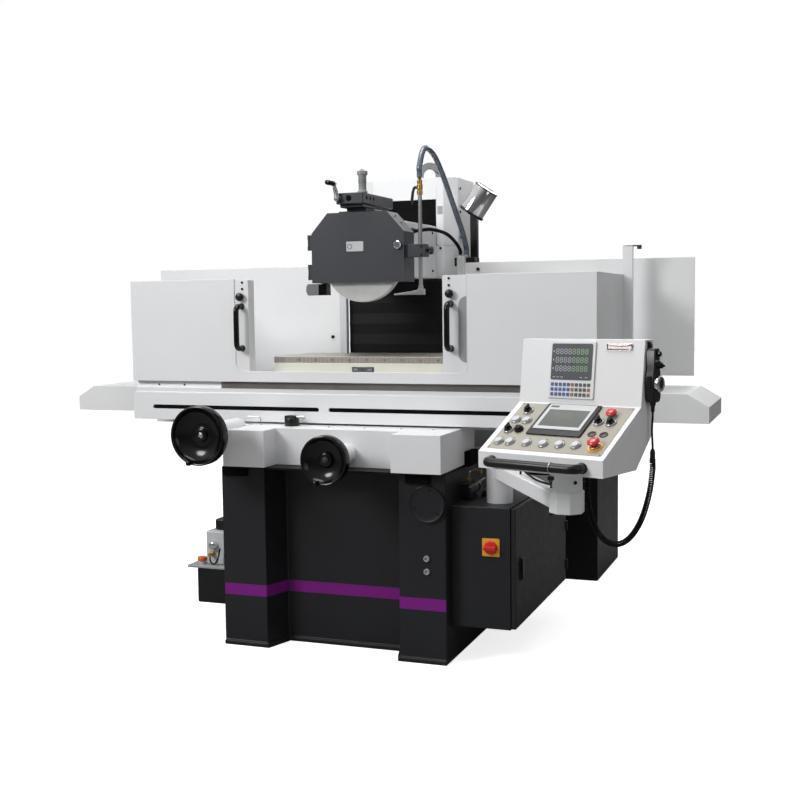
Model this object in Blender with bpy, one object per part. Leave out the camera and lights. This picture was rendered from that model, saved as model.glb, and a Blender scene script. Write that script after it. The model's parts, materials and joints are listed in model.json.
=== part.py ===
"""Surface grinder, modelled in metres.

Frame: X runs along the table, +X to the right of someone at the front, and Y
runs from the front to the back.  Z is up, with 0 at the floor.  The sizes below
count Y from the front faces of the base's two pedestals, and the root empty
then moves the whole machine forward, so that the world's origin is on the
floor under the middle of the base body.  Every piece is its own object, and
every moving body hangs under an empty that stands on its joint's axis.
"""

from math import cos, pi, radians, sin

import bmesh
import bpy
from mathutils import Matrix, Vector

# ---------------------------------------------------------------- dimensions
GAP = 0.0003                  # between faces that touch

# Base: two pedestals with a recess between them, and a tail under the column
BASE_HALF = 0.495
PEDESTAL_INNER = 0.296
RECESS_HALF = 0.258
RECESS_DEPTH = 0.128
BASE_BODY_BACK = 0.960
TAIL_HALF = 0.330
BASE_BACK = 1.578
BASE_TOP = 0.760
FOOT_HEIGHT = 0.020
FOOT_LEDGE = 0.008
CASTING_WALL = 0.030
WAY_HEIGHT = 0.008
WAY_INNER, WAY_OUTER = 0.200, 0.330

# Column and its cover
COLUMN_FRONT = 0.965
COLUMN_HALF = 0.236
COLUMN_FACE_HALF = 0.176
COLUMN_BACK = COLUMN_FRONT + 0.291
COLUMN_SHOULDER = BASE_TOP + 0.940   # where the hood over the column begins
COLUMN_TOP = BASE_TOP + 1.258
COLUMN_CHAMFER = 0.040
HOOD_WALL = 0.004
LIFT_SLOT_X = (-0.160, 0.139)
LIFT_SLOT_TOP = COLUMN_TOP - 0.101

# Electrical cabinet on the base's right side
CABINET_X = (BASE_HALF + GAP, 0.7375)
CABINET_Y = (0.056, 0.957)
CABINET_Z = (0.147, BASE_TOP - 0.129)
CABINET_WALL = 0.004
DOOR_THICK = 0.020
SWITCH_AT = (0.660, CABINET_Z[1] - 0.158)   # x, z

# Coolant tank on the floor behind the cabinet, and the lubrication unit
TANK_X = (0.200, 0.785)
TANK_LENGTH = 0.600
TANK_HEIGHT = 0.557
LUBE_X = (-0.745, -0.600)
LUBE_Y = (0.150, 0.330)
LUBE_Z = (0.125, 0.280)
LUBE_PUMP_TOP = LUBE_Z[1] + 0.210

# Fixed guards behind the table
REAR_GUARD_HALF = 1.334
REAR_GUARD_Y = 0.9135
REAR_GUARD_Z = (BASE_TOP + 0.340, BASE_TOP + 0.855)
REAR_SILL = 0.040             # height of the strip below the opening
REAR_OPENING = (-0.335, 0.260)
POST_WIDTH = 0.035
SHEET = 0.004

# Saddle, which carries the table and slides along Y
SADDLE_BOTTOM = BASE_TOP + WAY_HEIGHT + GAP
SADDLE_TOP = SADDLE_BOTTOM + 0.1517
SADDLE_BACK = 0.860
SADDLE_LEFT = (-0.454, -0.265)
SADDLE_RIGHT = (0.287, 0.494)
SADDLE_BLOCK_FRONT = -0.059
SADDLE_MIDDLE_FRONT = 0.050
BEAM_HALF = 1.030
BEAM_FRONT = 0.360
BEAM_TOP = SADDLE_TOP + 0.1485
COVER_END = 1.455
COVER_BOTTOM = SADDLE_TOP + 0.027
COVER_LIP = SADDLE_TOP + 0.092
COVER_RIDGE = SADDLE_TOP + 0.142
COVER_SLOPE = 0.085

# Table, which slides along X, with its guard and the magnetic chuck
TABLE_HALF = 1.047
TABLE_FRONT = 0.201
TABLE_BACK = 0.795
TABLE_TOP = BEAM_TOP + 0.0315
RAIL_THICK = 0.020
RAIL_Z = (SADDLE_TOP + 0.008, SADDLE_TOP + 0.129)
RAIL_SLOT_Z = (RAIL_Z[0] + 0.048, RAIL_Z[0] + 0.066)
RAIL_SLOT_DEPTH = 0.010
RAIL_SLOTS = ((-0.948, -0.134), (-0.090, 0.980))
TABLE_EDGE_SETBACK = 0.034
GUARD_TOP = TABLE_TOP + 0.443
GUARD_OPENING = (-0.525, 0.522)
APRON_TOP = TABLE_TOP + 0.046
OPENING_RADIUS = 0.040
FLANGE_WIDTH = 0.060
HOOK_POST_TOP = TABLE_TOP + 0.568
CHUCK_HALF = 0.400
CHUCK_Y = (0.320, 0.720)
CHUCK_PLATE_THICK = 0.027
CHUCK_TOP = TABLE_TOP + 0.105

# Sliding doors of the table guard
GUARD_DOOR_WIDTH = 0.440
LEFT_DOOR_EDGE = -0.460       # leading edge, doors open
RIGHT_DOOR_EDGE = 0.419
GRIP_LENGTH = 0.180
GRIP_RADIUS = 0.012
GRIP_STANDOFF = 0.050
GRIP_MIDDLE = TABLE_TOP + 0.235
GRIP_INSET = 0.034            # from a door's leading edge

# Wheel head, which slides along Z on the column
HEAD_X = (-0.190, 0.140)
HEAD_Y = (0.4825, COLUMN_FRONT - GAP)
WHEEL_RADIUS = 0.1775
WHEEL_WIDTH = 0.040
WHEEL_FRONT = 0.378
WHEEL_AXIS_Z = CHUCK_TOP + 0.4105
HEAD_Z = (WHEEL_AXIS_Z - 0.0705, WHEEL_AXIS_Z + 0.1745)
HUB_RADIUS = 0.0635
SPINDLE_RADIUS = 0.032
SPINDLE_CLEARANCE = 0.001
GUARD_X = (-WHEEL_RADIUS - 0.0465, WHEEL_RADIUS + 0.0245)
GUARD_Z = (WHEEL_AXIS_Z - 0.0935, WHEEL_AXIS_Z + WHEEL_RADIUS + 0.027)
GUARD_CUT = (0.076, 0.086)
GUARD_FRONT = 0.352
GUARD_WALL = 0.006
COVER_THICK = 0.0137
HINGE_Z = (WHEEL_AXIS_Z - 0.0795, WHEEL_AXIS_Z + 0.0475)
HINGE_LENGTH = 0.066
LOCK_AT = (GUARD_X[1] - 0.026, WHEEL_AXIS_Z + 0.0605)
CLAMP_Z = (WHEEL_AXIS_Z + 0.0085, WHEEL_AXIS_Z + 0.0625)
PIPE_X = GUARD_X[1] + 0.060
PIPE_RADIUS = 0.0085
PIPE_Z = (WHEEL_AXIS_Z - 0.1295, WHEEL_AXIS_Z + 0.2695)

# Wheel dresser on the guard
DRESSER_X = (-0.086, 0.038)
DRESSER_Y = (0.308, 0.664)
DRESSER_Z = (GUARD_Z[1] + 0.018, GUARD_Z[1] + 0.079)
DRESSER_CRANK = (DRESSER_X[0] + 0.012, DRESSER_Z[1] - 0.024)

# Lamp post beside the column, with the bracket the hose and cable enter
HOSE_SEAT_Z = COLUMN_TOP - 0.378
HOSE_SEAT_Y = COLUMN_FRONT - 0.003
HOSE_SEAT_X, CABLE_SEAT_X = COLUMN_HALF + 0.051, COLUMN_HALF + 0.022
LAMP_POST_X = (COLUMN_HALF + 0.064, COLUMN_HALF + 0.096)
LAMP_POST_Y = (COLUMN_FRONT + 0.020, COLUMN_FRONT + 0.050)
LAMP_POST_Z = (HOSE_SEAT_Z - 0.040, HOSE_SEAT_Z + 0.222)
LAMP_AIM = (-0.572, 0, -0.820)
LAMP_LENGTH = 0.134
LAMP_RADIUS = 0.058

# Handwheels
TABLE_WHEEL_AT = (SADDLE_LEFT[0] - 0.014, -0.200, SADDLE_TOP - 0.008)
TABLE_WHEEL_RADIUS = 0.120
CROSS_WHEEL_AT = (0.054, -0.150, SADDLE_TOP - 0.096)
CROSS_WHEEL_RADIUS = 0.098
SHAFT_BOSS_RADIUS = 0.042

# Control console on its swing arm
POST_AT = (0.659, 0.192)
POST_RADIUS = 0.053
ARM_Z = (CABINET_Z[1] + 0.099, CABINET_Z[1] + 0.155)
ARM_WIDTH = 0.060
HUB_AT = (1.084, -0.506)
HUB_BOSS = 0.060
CONSOLE_BOTTOM = ARM_Z[1] + 0.101
CONSOLE_YAW = radians(-18)
CONSOLE_WIDTH = 0.460
SPREAD = CONSOLE_WIDTH / 0.460   # controls move apart as the console widens
CONSOLE_WALL = 0.008
CONSOLE_SHIFT = 0.014         # its middle, to the right of the hub's axis
CONSOLE_FRONT_V = -0.200      # front edge, from the hub's axis
DESK_Z = (CONSOLE_BOTTOM + 0.055, CONSOLE_BOTTOM + 0.199)
DESK_RUN = 0.250
PANEL_LEAN = 0.027
CONSOLE_TOP = CONSOLE_BOTTOM + 0.414
CONSOLE_TOP_DEPTH = 0.056
PENDANT_Z = (CONSOLE_TOP - 0.201, CONSOLE_TOP - 0.026)
HANDLE_ENDS = (-0.175 * SPREAD, 0.158 * SPREAD)
HANDLE_OUT = 0.0435
HANDLE_RADIUS = 0.0155
HANDLE_Z = CONSOLE_BOTTOM + 0.027
BUTTON_RADIUS = 0.0145
BUTTON_HEIGHT = 0.015
PRESS_SEAT = 0.001            # how far a pressed control's foot lies in its socket
PRESS_TRAVEL = 0.003
PRESS_CLEARANCE = 0.0004

# ----------------------------------------------------------------- materials
PAINTS = {                    # colour, roughness, metallic
    "white_paint": ((0.80, 0.81, 0.82), 0.35, 0.0),
    "cream_paint": ((0.80, 0.79, 0.72), 0.40, 0.0),
    "charcoal_paint": ((0.045, 0.047, 0.052), 0.45, 0.0),
    "dark_grey_paint": ((0.060, 0.064, 0.072), 0.40, 0.0),
    "light_grey_paint": ((0.62, 0.64, 0.68), 0.35, 0.0),
    "black_plastic": ((0.012, 0.012, 0.013), 0.35, 0.0),
    "black_rubber": ((0.015, 0.015, 0.016), 0.70, 0.0),
    "grey_plastic": ((0.62, 0.64, 0.68), 0.35, 0.0),
    "red_plastic": ((0.60, 0.03, 0.02), 0.35, 0.0),
    "steel": ((0.55, 0.55, 0.56), 0.30, 1.0),
    "chrome": ((0.80, 0.80, 0.82), 0.12, 1.0),
    "abrasive": ((0.62, 0.62, 0.60), 0.90, 0.0),
    "hose_plastic": ((0.50, 0.56, 0.68), 0.20, 0.0),
}
materials = {}


def make_materials():
    for name, (colour, roughness, metallic) in PAINTS.items():
        material = bpy.data.materials.new(name)
        material.use_nodes = True
        shader = material.node_tree.nodes["Principled BSDF"]
        shader.inputs["Base Color"].default_value = (*colour, 1.0)
        shader.inputs["Roughness"].default_value = roughness
        shader.inputs["Metallic"].default_value = metallic
        materials[name] = material


# -------------------------------------------------------------------- bodies
bodies = {}


def body(name, pivot=(0, 0, 0), parent=None):
    """An empty on a joint's axis, which the body's pieces hang under."""
    empty = bpy.data.objects.new(f"body_{name}", None)
    bpy.context.collection.objects.link(empty)
    bodies[name] = (empty, Vector(pivot))
    if parent:
        above, at = bodies[parent]
        empty.parent = above
        empty.location = Vector(pivot) - at
    else:
        empty.location = (0, -BASE_BODY_BACK / 2, 0)
    return name


def place(bm, name, material, on="root"):
    """Turn a bmesh in world coordinates into an object on a body."""
    empty, pivot = bodies[on]
    bmesh.ops.recalc_face_normals(bm, faces=bm.faces)
    bmesh.ops.translate(bm, verts=bm.verts, vec=-pivot)
    mesh = bpy.data.meshes.new(name)
    bm.to_mesh(mesh)
    bm.free()
    mesh.materials.append(materials[material])
    mesh.shade_smooth()
    mesh.set_sharp_from_angle(angle=radians(35))
    thing = bpy.data.objects.new(name, mesh)
    bpy.context.collection.objects.link(thing)
    thing.parent = empty
    return thing


# -------------------------------------------------------------------- shapes
def prism(outline, axis, low, high):
    """A flat outline pushed along an axis, from low to high.

    The outline's points are (y, z) along X, (x, z) along Y and (x, y) along Z.
    """
    bm = bmesh.new()
    lift = {"X": lambda a, b, d: (d, a, b),
            "Y": lambda a, b, d: (a, d, b),
            "Z": lambda a, b, d: (a, b, d)}[axis]
    face = bm.faces.new([bm.verts.new(lift(a, b, low)) for a, b in outline])
    pushed = bmesh.ops.extrude_face_region(bm, geom=[face])["geom"]
    step = Vector(lift(0, 0, high - low))
    verts = [g for g in pushed if isinstance(g, bmesh.types.BMVert)]
    bmesh.ops.translate(bm, verts=verts, vec=step)
    return bm


def rectangle(a, b):
    return [(a[0], b[0]), (a[1], b[0]), (a[1], b[1]), (a[0], b[1])]


def block(x, y, z):
    return prism(rectangle(x, y), "Z", z[0], z[1])


def turned(profile, centre, axis, sides=24):
    """Spin (radius, distance along the axis) points into a closed solid."""
    bm = bmesh.new()
    turn = Vector((0, 0, 1)).rotation_difference(Vector(axis)).to_matrix().to_4x4()
    rings = []
    for radius, along in profile:
        if radius == 0:
            rings.append([bm.verts.new((0, 0, along))])
            continue
        angles = [2 * pi * i / sides for i in range(sides)]
        rings.append([bm.verts.new((radius * cos(a), radius * sin(a), along))
                      for a in angles])
    for one, two in zip(rings, rings[1:]):
        for i in range(sides):
            j = (i + 1) % sides
            corners = [one[i % len(one)], one[j % len(one)],
                       two[j % len(two)], two[i % len(two)]]
            bm.faces.new(list(dict.fromkeys(corners)))
    bmesh.ops.transform(bm, verts=bm.verts,
                        matrix=Matrix.Translation(centre) @ turn)
    return bm


def drum(radius, centre, axis, length, sides=24):
    """A plain cylinder that starts at centre and runs along axis."""
    return turned([(0, 0), (radius, 0), (radius, length), (0, length)],
                  centre, axis, sides)


def tool(bm, target, operation):
    """Cut a hidden solid out of a piece, or fuse it on."""
    bmesh.ops.recalc_face_normals(bm, faces=bm.faces)
    index = len(target.modifiers)
    mesh = bpy.data.meshes.new(f"{target.name}_tool_{index}")
    bm.to_mesh(mesh)
    bm.free()
    helper = bpy.data.objects.new(mesh.name, mesh)
    bpy.context.collection.objects.link(helper)
    helper.parent = bodies["root"][0]
    helper.hide_render = True
    helper.display_type = "WIRE"
    modifier = target.modifiers.new(f"{operation.lower()}_{index}", "BOOLEAN")
    modifier.object = helper
    modifier.operation = operation
    modifier.solver = "EXACT"


def cut(target, bm):
    tool(bm, target, "DIFFERENCE")


def fuse(target, bm):
    tool(bm, target, "UNION")


def round_off(target, width, segments=1, angle=30):
    """Bevel a piece's sharp edges."""
    modifier = target.modifiers.new("rounding", "BEVEL")
    modifier.width = width
    modifier.segments = segments
    modifier.limit_method = "ANGLE"
    modifier.angle_limit = radians(angle)


def smooth_path(route, steps=3):
    """Points on a smooth curve (Catmull-Rom) through a route's own points."""
    route = [Vector(p) for p in route]
    route = [2 * route[0] - route[1], *route, 2 * route[-1] - route[-2]]
    out = []
    for a, b, c, d in zip(route, route[1:], route[2:], route[3:]):
        for i in range(steps):
            t = i / steps
            out.append(0.5 * (2 * b + (c - a) * t
                              + (2 * a - 5 * b + 4 * c - d) * t ** 2
                              + (3 * b - a - 3 * c + d) * t ** 3))
    return [*out, route[-2]]


def tube(points, radius, name, material, on="root", sides=2):
    """A round bar or hose along points, as a curve with filled ends."""
    empty, pivot = bodies[on]
    curve = bpy.data.curves.new(name, "CURVE")
    curve.dimensions = "3D"
    curve.bevel_depth = radius
    curve.bevel_resolution = sides
    curve.use_fill_caps = True
    spline = curve.splines.new("POLY")
    spline.points.add(len(points) - 1)
    for point, at in zip(spline.points, points):
        point.co = (*(Vector(at) - pivot), 1)
    curve.materials.append(materials[material])
    thing = bpy.data.objects.new(name, curve)
    bpy.context.collection.objects.link(thing)
    thing.parent = empty
    return thing


def arc(centre, radius, start, end, steps):
    """Points on an arc, in degrees."""
    out = []
    for i in range(steps + 1):
        a = radians(start + (end - start) * i / steps)
        out.append((centre[0] + radius * cos(a), centre[1] + radius * sin(a)))
    return out


# ---------------------------------------------------------------- root: base
def base_outline(ledge=0.0):
    """The base from above, grown outwards by a ledge."""
    half = [
        (RECESS_HALF - ledge, RECESS_DEPTH - ledge),
        (PEDESTAL_INNER - ledge, -ledge),
        (BASE_HALF, -ledge),
        (BASE_HALF, BASE_BODY_BACK),
        (TAIL_HALF, BASE_BODY_BACK),
        (TAIL_HALF, BASE_BACK),
    ]
    return half + [(-x, y) for x, y in reversed(half)]


def make_base():
    base = place(prism(base_outline(), "Z", FOOT_HEIGHT / 2, BASE_TOP),
                 "base_frame", "charcoal_paint")
    fuse(base, prism(base_outline(FOOT_LEDGE), "Z", 0, FOOT_HEIGHT))
    for side in (-1, 1):
        rail = sorted((side * WAY_INNER, side * WAY_OUTER))
        fuse(base, block(rail, (0.010, BASE_BODY_BACK - 0.010),
                         (BASE_TOP - 0.010, BASE_TOP + WAY_HEIGHT)))
    w = CASTING_WALL
    cut(base, block((-BASE_HALF + w, BASE_HALF - w),
                    (RECESS_DEPTH + w, BASE_BODY_BACK - w), (2 * w, BASE_TOP - w)))
    cut(base, block((-TAIL_HALF + w, TAIL_HALF - w),
                    (BASE_BODY_BACK - 2 * w, BASE_BACK - w), (2 * w, BASE_TOP - w)))
    cut(base, block((-0.200, 0.160), (BASE_BACK - 2 * w, BASE_BACK + w),
                    (0.150, 0.600)))
    fuse(base, turned([(0, -0.002), (0.070, -0.002), (0.070, 0.008),
                       (0.060, 0.012), (0, 0.012)], (0.420, 0, BASE_TOP - 0.117), (0, -1, 0), 20))


def column_outline(shrink=0.0):
    front, back = COLUMN_FRONT + shrink, COLUMN_BACK - shrink
    half = [(COLUMN_FACE_HALF - shrink / 2, front),
            (COLUMN_HALF - shrink, front + COLUMN_CHAMFER),
            (COLUMN_HALF - shrink, back)]
    return half + [(-x, y) for x, y in reversed(half)]


def make_column():
    column = place(prism(column_outline(), "Z", BASE_TOP + GAP, COLUMN_SHOULDER),
                   "column", "white_paint")
    w = CASTING_WALL
    cut(column, block((-COLUMN_HALF + w, COLUMN_HALF - w),
                      (COLUMN_FRONT + COLUMN_CHAMFER + w, COLUMN_BACK - w),
                      (BASE_TOP - w, COLUMN_SHOULDER - 2 * w)))
    fuse(column, block((-0.060, 0.060), (COLUMN_FRONT + 0.060, COLUMN_BACK - 0.020),
                       (COLUMN_SHOULDER - 0.020, COLUMN_TOP - 0.030)))
    hood = place(prism(column_outline(), "Z", COLUMN_SHOULDER + GAP, COLUMN_TOP),
                 "column_hood", "white_paint")
    cut(hood, prism(column_outline(HOOD_WALL), "Z", COLUMN_SHOULDER - 0.010,
                    COLUMN_TOP - HOOD_WALL))
    cut(hood, block(LIFT_SLOT_X, (COLUMN_FRONT - 0.010, COLUMN_FRONT + HOOD_WALL / 2),
                    (COLUMN_SHOULDER - 0.010, LIFT_SLOT_TOP)))


def make_rear_guard():
    left, right = REAR_OPENING
    low, high = REAR_GUARD_Z
    sill = low + REAR_SILL
    half = REAR_GUARD_HALF
    outline = [(-half, low), (half, low), (half, high), (right, high),
               (right, sill), (left, sill), (left, high), (-half, high)]
    back = REAR_GUARD_Y + SHEET
    guard = place(prism(outline, "Y", REAR_GUARD_Y, back), "rear_guard",
                  "white_paint")
    for edge, top in ((left, high - 0.063), (right, high + 0.030)):
        fuse(guard, block((edge, edge + POST_WIDTH),
                          (REAR_GUARD_Y - 0.012, back + 0.012), (low, top)))
    for x in (-0.140, 0.110):
        fuse(guard, block((x - 0.020, x + 0.020), (back - 0.001, COLUMN_FRONT - GAP),
                          (low, sill - 0.004)))


def make_bellows():
    """Folded rubber apron between the guard's posts, hung from the head."""
    left = REAR_OPENING[0] + POST_WIDTH + 0.002
    right = REAR_OPENING[1] - 0.002
    low, high = REAR_GUARD_Z[0] + REAR_SILL + GAP, HEAD_Z[0] - GAP
    folds, front, depth = 12, REAR_GUARD_Y + 0.0165, 0.010
    step = (high - low) / folds
    zigzag = [(front + depth * (i % 2), low + i * step) for i in range(folds + 1)]
    back = [(y + 0.008, z) for y, z in reversed(zigzag)]
    place(prism(zigzag + back, "X", left, right), "lower_bellows", "black_rubber")


def make_cabinet():
    x, y, z = CABINET_X, CABINET_Y, CABINET_Z
    shell = place(block(x, y, z), "cabinet_shell", "charcoal_paint")
    w = CABINET_WALL
    cut(shell, block((x[0] + w, x[1] + 0.050), (y[0] + w, y[1] - w),
                     (z[0] + w, z[1] - w)))
    front = x[1] + 0.0008
    door_y = (y[0] + 0.004, y[1] - 0.004)
    hinge = body("cabinet_door", (front + DOOR_THICK, door_y[1], sum(z) / 2), "root")
    door = place(block((front, front + DOOR_THICK), door_y,
                       (z[0] + 0.004, z[1] - 0.004)),
                 "cabinet_door", "charcoal_paint", hinge)
    fuse(door, block((front + DOOR_THICK - 0.001, front + DOOR_THICK + 0.010),
                     (door_y[0] + 0.068, door_y[0] + 0.092),
                     (sum(z) / 2 - 0.054, sum(z) / 2 + 0.031)))
    dial = body("main_switch", (SWITCH_AT[0], y[0], SWITCH_AT[1]), "root")
    seat = y[0] - GAP
    knob = place(turned([(0, 0), (0.024, 0), (0.022, 0.010), (0, 0.010)],
                        (SWITCH_AT[0], seat, SWITCH_AT[1]), (0, -1, 0), 20),
                 "main_switch_knob", "red_plastic", dial)
    fuse(knob, block((SWITCH_AT[0] - 0.020, SWITCH_AT[0] + 0.020),
                     (seat - 0.026, seat - 0.009),
                     (SWITCH_AT[1] - 0.006, SWITCH_AT[1] + 0.006)))


def make_units():
    """The coolant tank behind the base and the lubrication unit at its left."""
    y = (BASE_BACK + GAP, BASE_BACK + GAP + TANK_LENGTH)
    tank = place(block(TANK_X, y, (0, TANK_HEIGHT)), "coolant_tank",
                 "charcoal_paint")
    w = CABINET_WALL
    cut(tank, block((TANK_X[0] + w, TANK_X[1] - w), (y[0] + w, y[1] - w),
                    (w, TANK_HEIGHT - w)))
    cut(tank, block((TANK_X[0] + 0.300, TANK_X[1] - 0.060), (y[0] + 0.080, y[1] - 0.080),
                    (TANK_HEIGHT - 2 * w, TANK_HEIGHT + w)))
    fuse(tank, drum(0.060, (TANK_X[0] + 0.180, y[0] + 0.200, TANK_HEIGHT - 0.010),
                    (0, 0, 1), 0.230, 20))
    x, y, z = LUBE_X, LUBE_Y, LUBE_Z
    unit = place(block(x, y, z), "lubrication_unit", "light_grey_paint")
    fuse(unit, block((x[0] - 0.012, -BASE_HALF - GAP), (y[0] - 0.010, y[1] + 0.010),
                     (z[1] - 0.001, z[1] + 0.016)))
    fuse(unit, block((x[0] + 0.050, x[1]), (y[0] + 0.030, y[1] - 0.030),
                     (z[1] + 0.015, LUBE_PUMP_TOP)))
    fuse(unit, drum(0.024, (x[0] + 0.026, y[0] + 0.035, z[1] + 0.015),
                    (0, 0, 1), 0.040, 16))


def make_lamp():
    x, y, z = LAMP_POST_X, LAMP_POST_Y, LAMP_POST_Z
    post = place(block(x, y, z), "lamp_post", "black_plastic")
    fuse(post, block((COLUMN_HALF + GAP, x[1]), (y[0] - 0.048, y[1] + 0.010),
                     (z[0], HOSE_SEAT_Z)))
    pivot = (sum(x) / 2 + 0.006, y[0] - GAP, z[1] - 0.010)
    head = body("lamp", pivot, "root")
    r = LAMP_RADIUS
    mouth = Vector((pivot[0] + 0.004, pivot[1] - 0.066, pivot[2] - 0.010))
    profile = [(0, -LAMP_LENGTH), (r - 0.004, -LAMP_LENGTH + 0.002),
               (r, -LAMP_LENGTH + 0.008), (r, -0.004), (r + 0.004, -0.003),
               (r + 0.004, 0.004), (r - 0.003, 0.004), (r - 0.005, 0), (0, 0)]
    lamp = place(turned(profile, mouth, Vector(LAMP_AIM).normalized(), 24),
                 "lamp_head", "chrome", head)
    fuse(lamp, drum(0.008, pivot, (0, -1, 0), 0.040, 12))


# -------------------------------------------------------------------- saddle
def make_saddle():
    saddle_body = body("saddle", (0, 0, SADDLE_BOTTOM), "root")
    left, right = SADDLE_LEFT, SADDLE_RIGHT
    front, middle = SADDLE_BLOCK_FRONT, SADDLE_MIDDLE_FRONT
    outline = [(left[0], front), (left[1], front), (left[1], middle),
               (right[0], middle), (right[0], front), (right[1], front),
               (right[1], SADDLE_BACK), (left[0], SADDLE_BACK)]
    saddle = place(prism(outline, "Z", SADDLE_BOTTOM, SADDLE_TOP), "saddle",
                   "white_paint", saddle_body)
    fuse(saddle, block((-BEAM_HALF, BEAM_HALF), (BEAM_FRONT, SADDLE_BACK),
                       (SADDLE_TOP - 0.020, BEAM_TOP)))
    w = CASTING_WALL
    for start, roof in ((middle + w, SADDLE_TOP - w), (BEAM_FRONT + w, BEAM_TOP - w)):
        cut(saddle, block((-WAY_INNER + w, WAY_INNER - w), (start, SADDLE_BACK - w),
                          (SADDLE_BOTTOM - w, roof)))
    for side in (-1, 1):
        x = sorted((side * (WAY_OUTER + w), side * (BEAM_HALF - w)))
        cut(saddle, block(x, (BEAM_FRONT + w, SADDLE_BACK - w),
                          (SADDLE_BOTTOM - w, BEAM_TOP - w)))
    x, _, z = TABLE_WHEEL_AT
    fuse(saddle, block((x - 0.062, left[0] + 0.010), (-0.030, 0.120),
                       (z - 0.075, z + 0.006)))
    fuse(saddle, drum(SHAFT_BOSS_RADIUS, (x, 0.100, z), (0, -1, 0), 0.215, 20))
    x, _, z = CROSS_WHEEL_AT
    fuse(saddle, drum(SHAFT_BOSS_RADIUS, (x, middle + 0.010, z), (0, -1, 0),
                      0.140, 20))
    slope = COVER_END - COVER_SLOPE
    for name, side in (("left", -1), ("right", 1)):
        start = BEAM_HALF + GAP
        outer = [(start, COVER_BOTTOM), (COVER_END, COVER_BOTTOM),
                 (COVER_END, COVER_LIP), (slope, COVER_RIDGE), (start, COVER_RIDGE)]
        inner = [(start + SHEET, COVER_BOTTOM - 0.010),
                 (COVER_END - SHEET, COVER_BOTTOM - 0.010),
                 (COVER_END - SHEET, COVER_LIP - SHEET),
                 (slope, COVER_RIDGE - SHEET), (start + SHEET, COVER_RIDGE - SHEET)]
        cover = place(prism([(side * a, b) for a, b in outer], "Y",
                            BEAM_FRONT, SADDLE_BACK),
                      f"way_cover_{name}", "white_paint", saddle_body)
        cut(cover, prism([(side * a, b) for a, b in inner], "Y",
                         BEAM_FRONT + SHEET, SADDLE_BACK - SHEET))


def handwheel(name, at, radius, seat, parent="saddle"):
    """A deep dished handwheel with a short grip, on the shaft that turns it."""
    spin = body(name, at, parent)
    x, y, z = at
    r = radius
    front = -0.36 * r
    back = front + 0.046
    profile = [(0, -0.012), (0.026, -0.012), (0.028, 0.002), (0.50 * r, 0.000),
               (0.75 * r, 0.30 * front), (0.90 * r, front + 0.012),
               (r - 0.008, front + 0.001), (r - 0.004, front), (r, front + 0.006),
               (r, back - 0.006), (r - 0.004, back), (0.90 * r, back - 0.002),
               (0.90 * r, front + 0.026), (0.75 * r, 0.30 * front + 0.012),
               (0.50 * r, 0.012), (0.030, 0.016), (0.030, 0.050), (0.015, 0.052),
               (0.015, seat), (0, seat)]
    wheel = place(turned(profile, (x, y, z), (0, 1, 0), 32), name, "black_plastic",
                  spin)
    at_grip = Vector((x - 0.26 * r, y + front + 0.010, z - 0.90 * r))
    fuse(wheel, drum(0.010, at_grip, (0, -1, 0), 0.034, 12))


def make_handwheels():
    handwheel("table_handwheel", TABLE_WHEEL_AT, TABLE_WHEEL_RADIUS,
              -0.115 - GAP - TABLE_WHEEL_AT[1])
    handwheel("cross_handwheel", CROSS_WHEEL_AT, CROSS_WHEEL_RADIUS,
              SADDLE_MIDDLE_FRONT + 0.010 - 0.140 - GAP - CROSS_WHEEL_AT[1])


# --------------------------------------------------------------------- table
def make_table():
    table_body = body("table", (0, 0, BEAM_TOP), "saddle")
    front, back = TABLE_FRONT, TABLE_BACK
    low, top = RAIL_Z
    under, rail_back = BEAM_TOP + GAP, TABLE_FRONT + RAIL_THICK
    section = [(front, low), (rail_back, low), (rail_back, under), (back, under),
               (back, TABLE_TOP - GAP), (front + TABLE_EDGE_SETBACK, TABLE_TOP - GAP),
               (front + TABLE_EDGE_SETBACK - 0.015, top), (front, top)]
    table = place(prism(section, "X", -TABLE_HALF, TABLE_HALF), "table",
                  "white_paint", table_body)
    for slot in RAIL_SLOTS:
        cut(table, block(slot, (front - 0.010, front + RAIL_SLOT_DEPTH), RAIL_SLOT_Z))
    make_splash_guard(table_body)
    z = (TABLE_TOP + GAP, CHUCK_TOP - CHUCK_PLATE_THICK)
    x = (-CHUCK_HALF, CHUCK_HALF)
    place(block(x, CHUCK_Y, z), "chuck_body", "cream_paint", table_body)
    place(block(x, CHUCK_Y, (z[1] + GAP, CHUCK_TOP)), "chuck_plate", "steel",
          table_body)


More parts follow.
